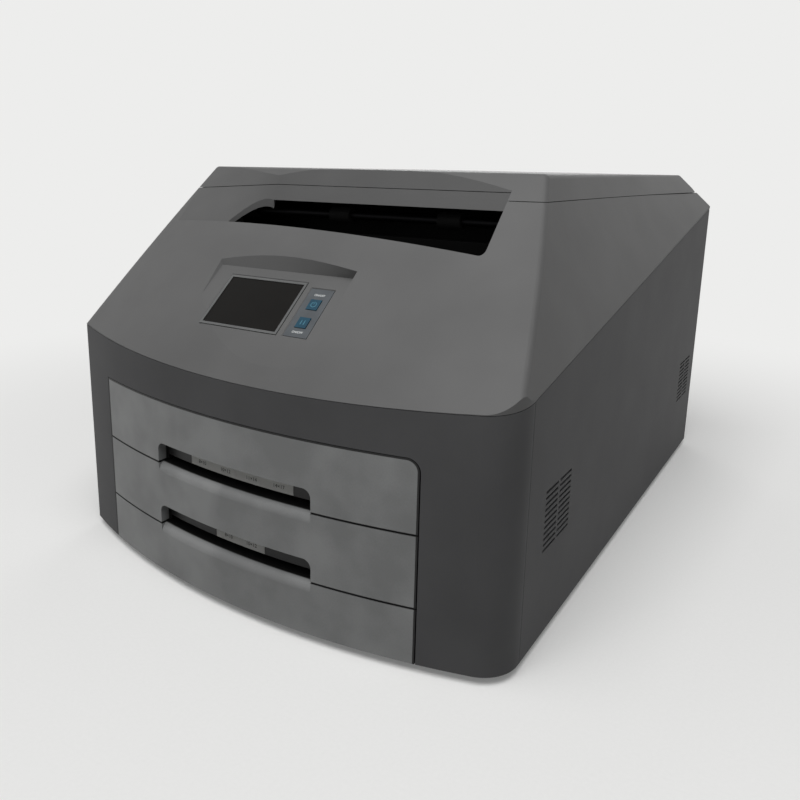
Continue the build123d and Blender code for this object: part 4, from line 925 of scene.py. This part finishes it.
# the rear strip is D-shaped: its flat side is glued to the panel and the round one faces inwards
a = np.linspace(-pi / 2, pi / 2, 13)
bow = np.column_stack([-np.cos(a) * REAR_SEAL_HALF[0], np.sin(a) * REAR_SEAL_HALF[1]])[::-1]
strip, faces = prism(bow + REAR_SEAL_PLACE, -REAR_SEAL_REACH, REAR_SEAL_REACH)
piece("rear_seam_seal", strip[:, [2, 0, 1]], faces, foam, "housing", "rubber")


# Display
# A sunken touch screen in a thin grey frame, and beside it a grey key plate with two teal
# keys that carry a plain power mark and a plain pause mark.

PAD_FOOT = np.array([0.0, -0.3495, 0.2366])
PAD_ACROSS = np.array([1.0, 0.0, 0.0])
PAD_UP = np.array([0.0, 0.763778, 0.645486])
PAD_OUT = np.array([0.0, -0.645486, 0.763778])
POWER_KEY = (0.0408, 0.0725)
PAUSE_KEY = (0.0408, 0.0513)
POWER_WORD = (0.0408, 0.0838)
PAUSE_WORD = (0.0408, 0.0404)
WORD_HEIGHT = 0.0032
WORD_BOLD = 0.00005
PLATE_TOP = -0.0005
KEY_TOP = 0.0001
PRINT_FILM = 0.00008
POWER_RING = (0.0028, 0.0007, 0.5)
POWER_BAR = (0, 0.0018, 0.0007, 0.0034)
PAUSE_BAR = (0.0008, 0.0050)
PAUSE_HALF = 0.0017

# moulded frame in the hood's grey, smooth instead of grained
screen_frame = plastic("smooth_grey_plastic", "5C5D5D", "666767", 0.9, 0.4, 0.01, 20.0)
# printed key plate: cool grey, satin
key_plate = plastic("printed_key_plate", "4B4F53", "54585C", 0.9, 0.45, 0.01, 12.0)
# translucent key cap: teal, fairly glossy
teal_key = plastic("teal_key_cap", "063A4E", "0A4459", 0.6, 0.35, 0.005, 5.0)
# pad print on the keys: pale teal
pale_print = plastic("pale_teal_pad_print", "3D7489", "4F8598", 0.5, 0.45, 0.003, 3.0)
dress(screen_frame, "display_frame")
dress(key_plate, "key_panel")
dress(teal_key, "power_button", "pause_button")


def touch_glass():
    """Hardened glass over a dark display: near black and brown, with a haze of finger marks."""
    made, tree = new_material("hardened_touch_glass")
    place = add(tree, "ShaderNodeTexCoord").outputs["Object"]
    haze = add(tree, "ShaderNodeTexNoise", {"Vector": place, "Scale": 45.0, "Detail": 3.0})
    gloss = {"Value": haze.outputs["Fac"], "To Min": 0.3, "To Max": 0.45}
    gloss = add(tree, "ShaderNodeMapRange", gloss)
    colour = {0: haze.outputs["Fac"], 6: linear("0A0908"), 7: linear("110F0D")}
    colour = add(tree, "ShaderNodeMix", colour, data_type="RGBA")
    skin = {
        "Base Color": colour.outputs[2],
        "Roughness": gloss.outputs[0],
        "IOR": 1.45,
        "Specular IOR Level": 0.1,
    }
    skin = add(tree, "ShaderNodeBsdfPrincipled", skin)
    add(tree, "ShaderNodeOutputMaterial", {"Surface": skin.outputs[0]})
    return made


dress(touch_glass(), "touch_screen")


def pad_print(name, parts, height, material, body):
    """Printed film on the pad: its flat points (u, v, h) set into the pad's plane at a height."""
    points, faces = joined(parts)
    u, v, h = (points + (0, 0, height)).T[..., None]
    points = PAD_FOOT + u * PAD_ACROSS + v * PAD_UP + h * PAD_OUT
    piece(name, points, faces, material, body, "label")


def key_mark(name, outlines, key, body):
    """Printed mark on a key cap, from its outlines about the key's middle."""
    marks = [prism(outline + key, -PRINT_FILM, PRINT_FILM) for outline in outlines]
    pad_print(name, marks, KEY_TOP, pale_print, body)


power_outlines = (ring_outline(*POWER_RING), bar_outline(*POWER_BAR))
key_mark("power_mark", power_outlines, POWER_KEY, "power_key")
pause_outlines = [bar_outline(u, 0, *PAUSE_BAR) for u in (-PAUSE_HALF, PAUSE_HALF)]
key_mark("pause_mark", pause_outlines, PAUSE_KEY, "pause_key")
# plain words stand in for the lettering beside the keys
words = [
    flat_text("ON/OFF", WORD_HEIGHT, place, PRINT_FILM, WORD_BOLD)
    for place in (POWER_WORD, PAUSE_WORD)
]
pad_print("key_words", words, PLATE_TOP, white_print, "housing")
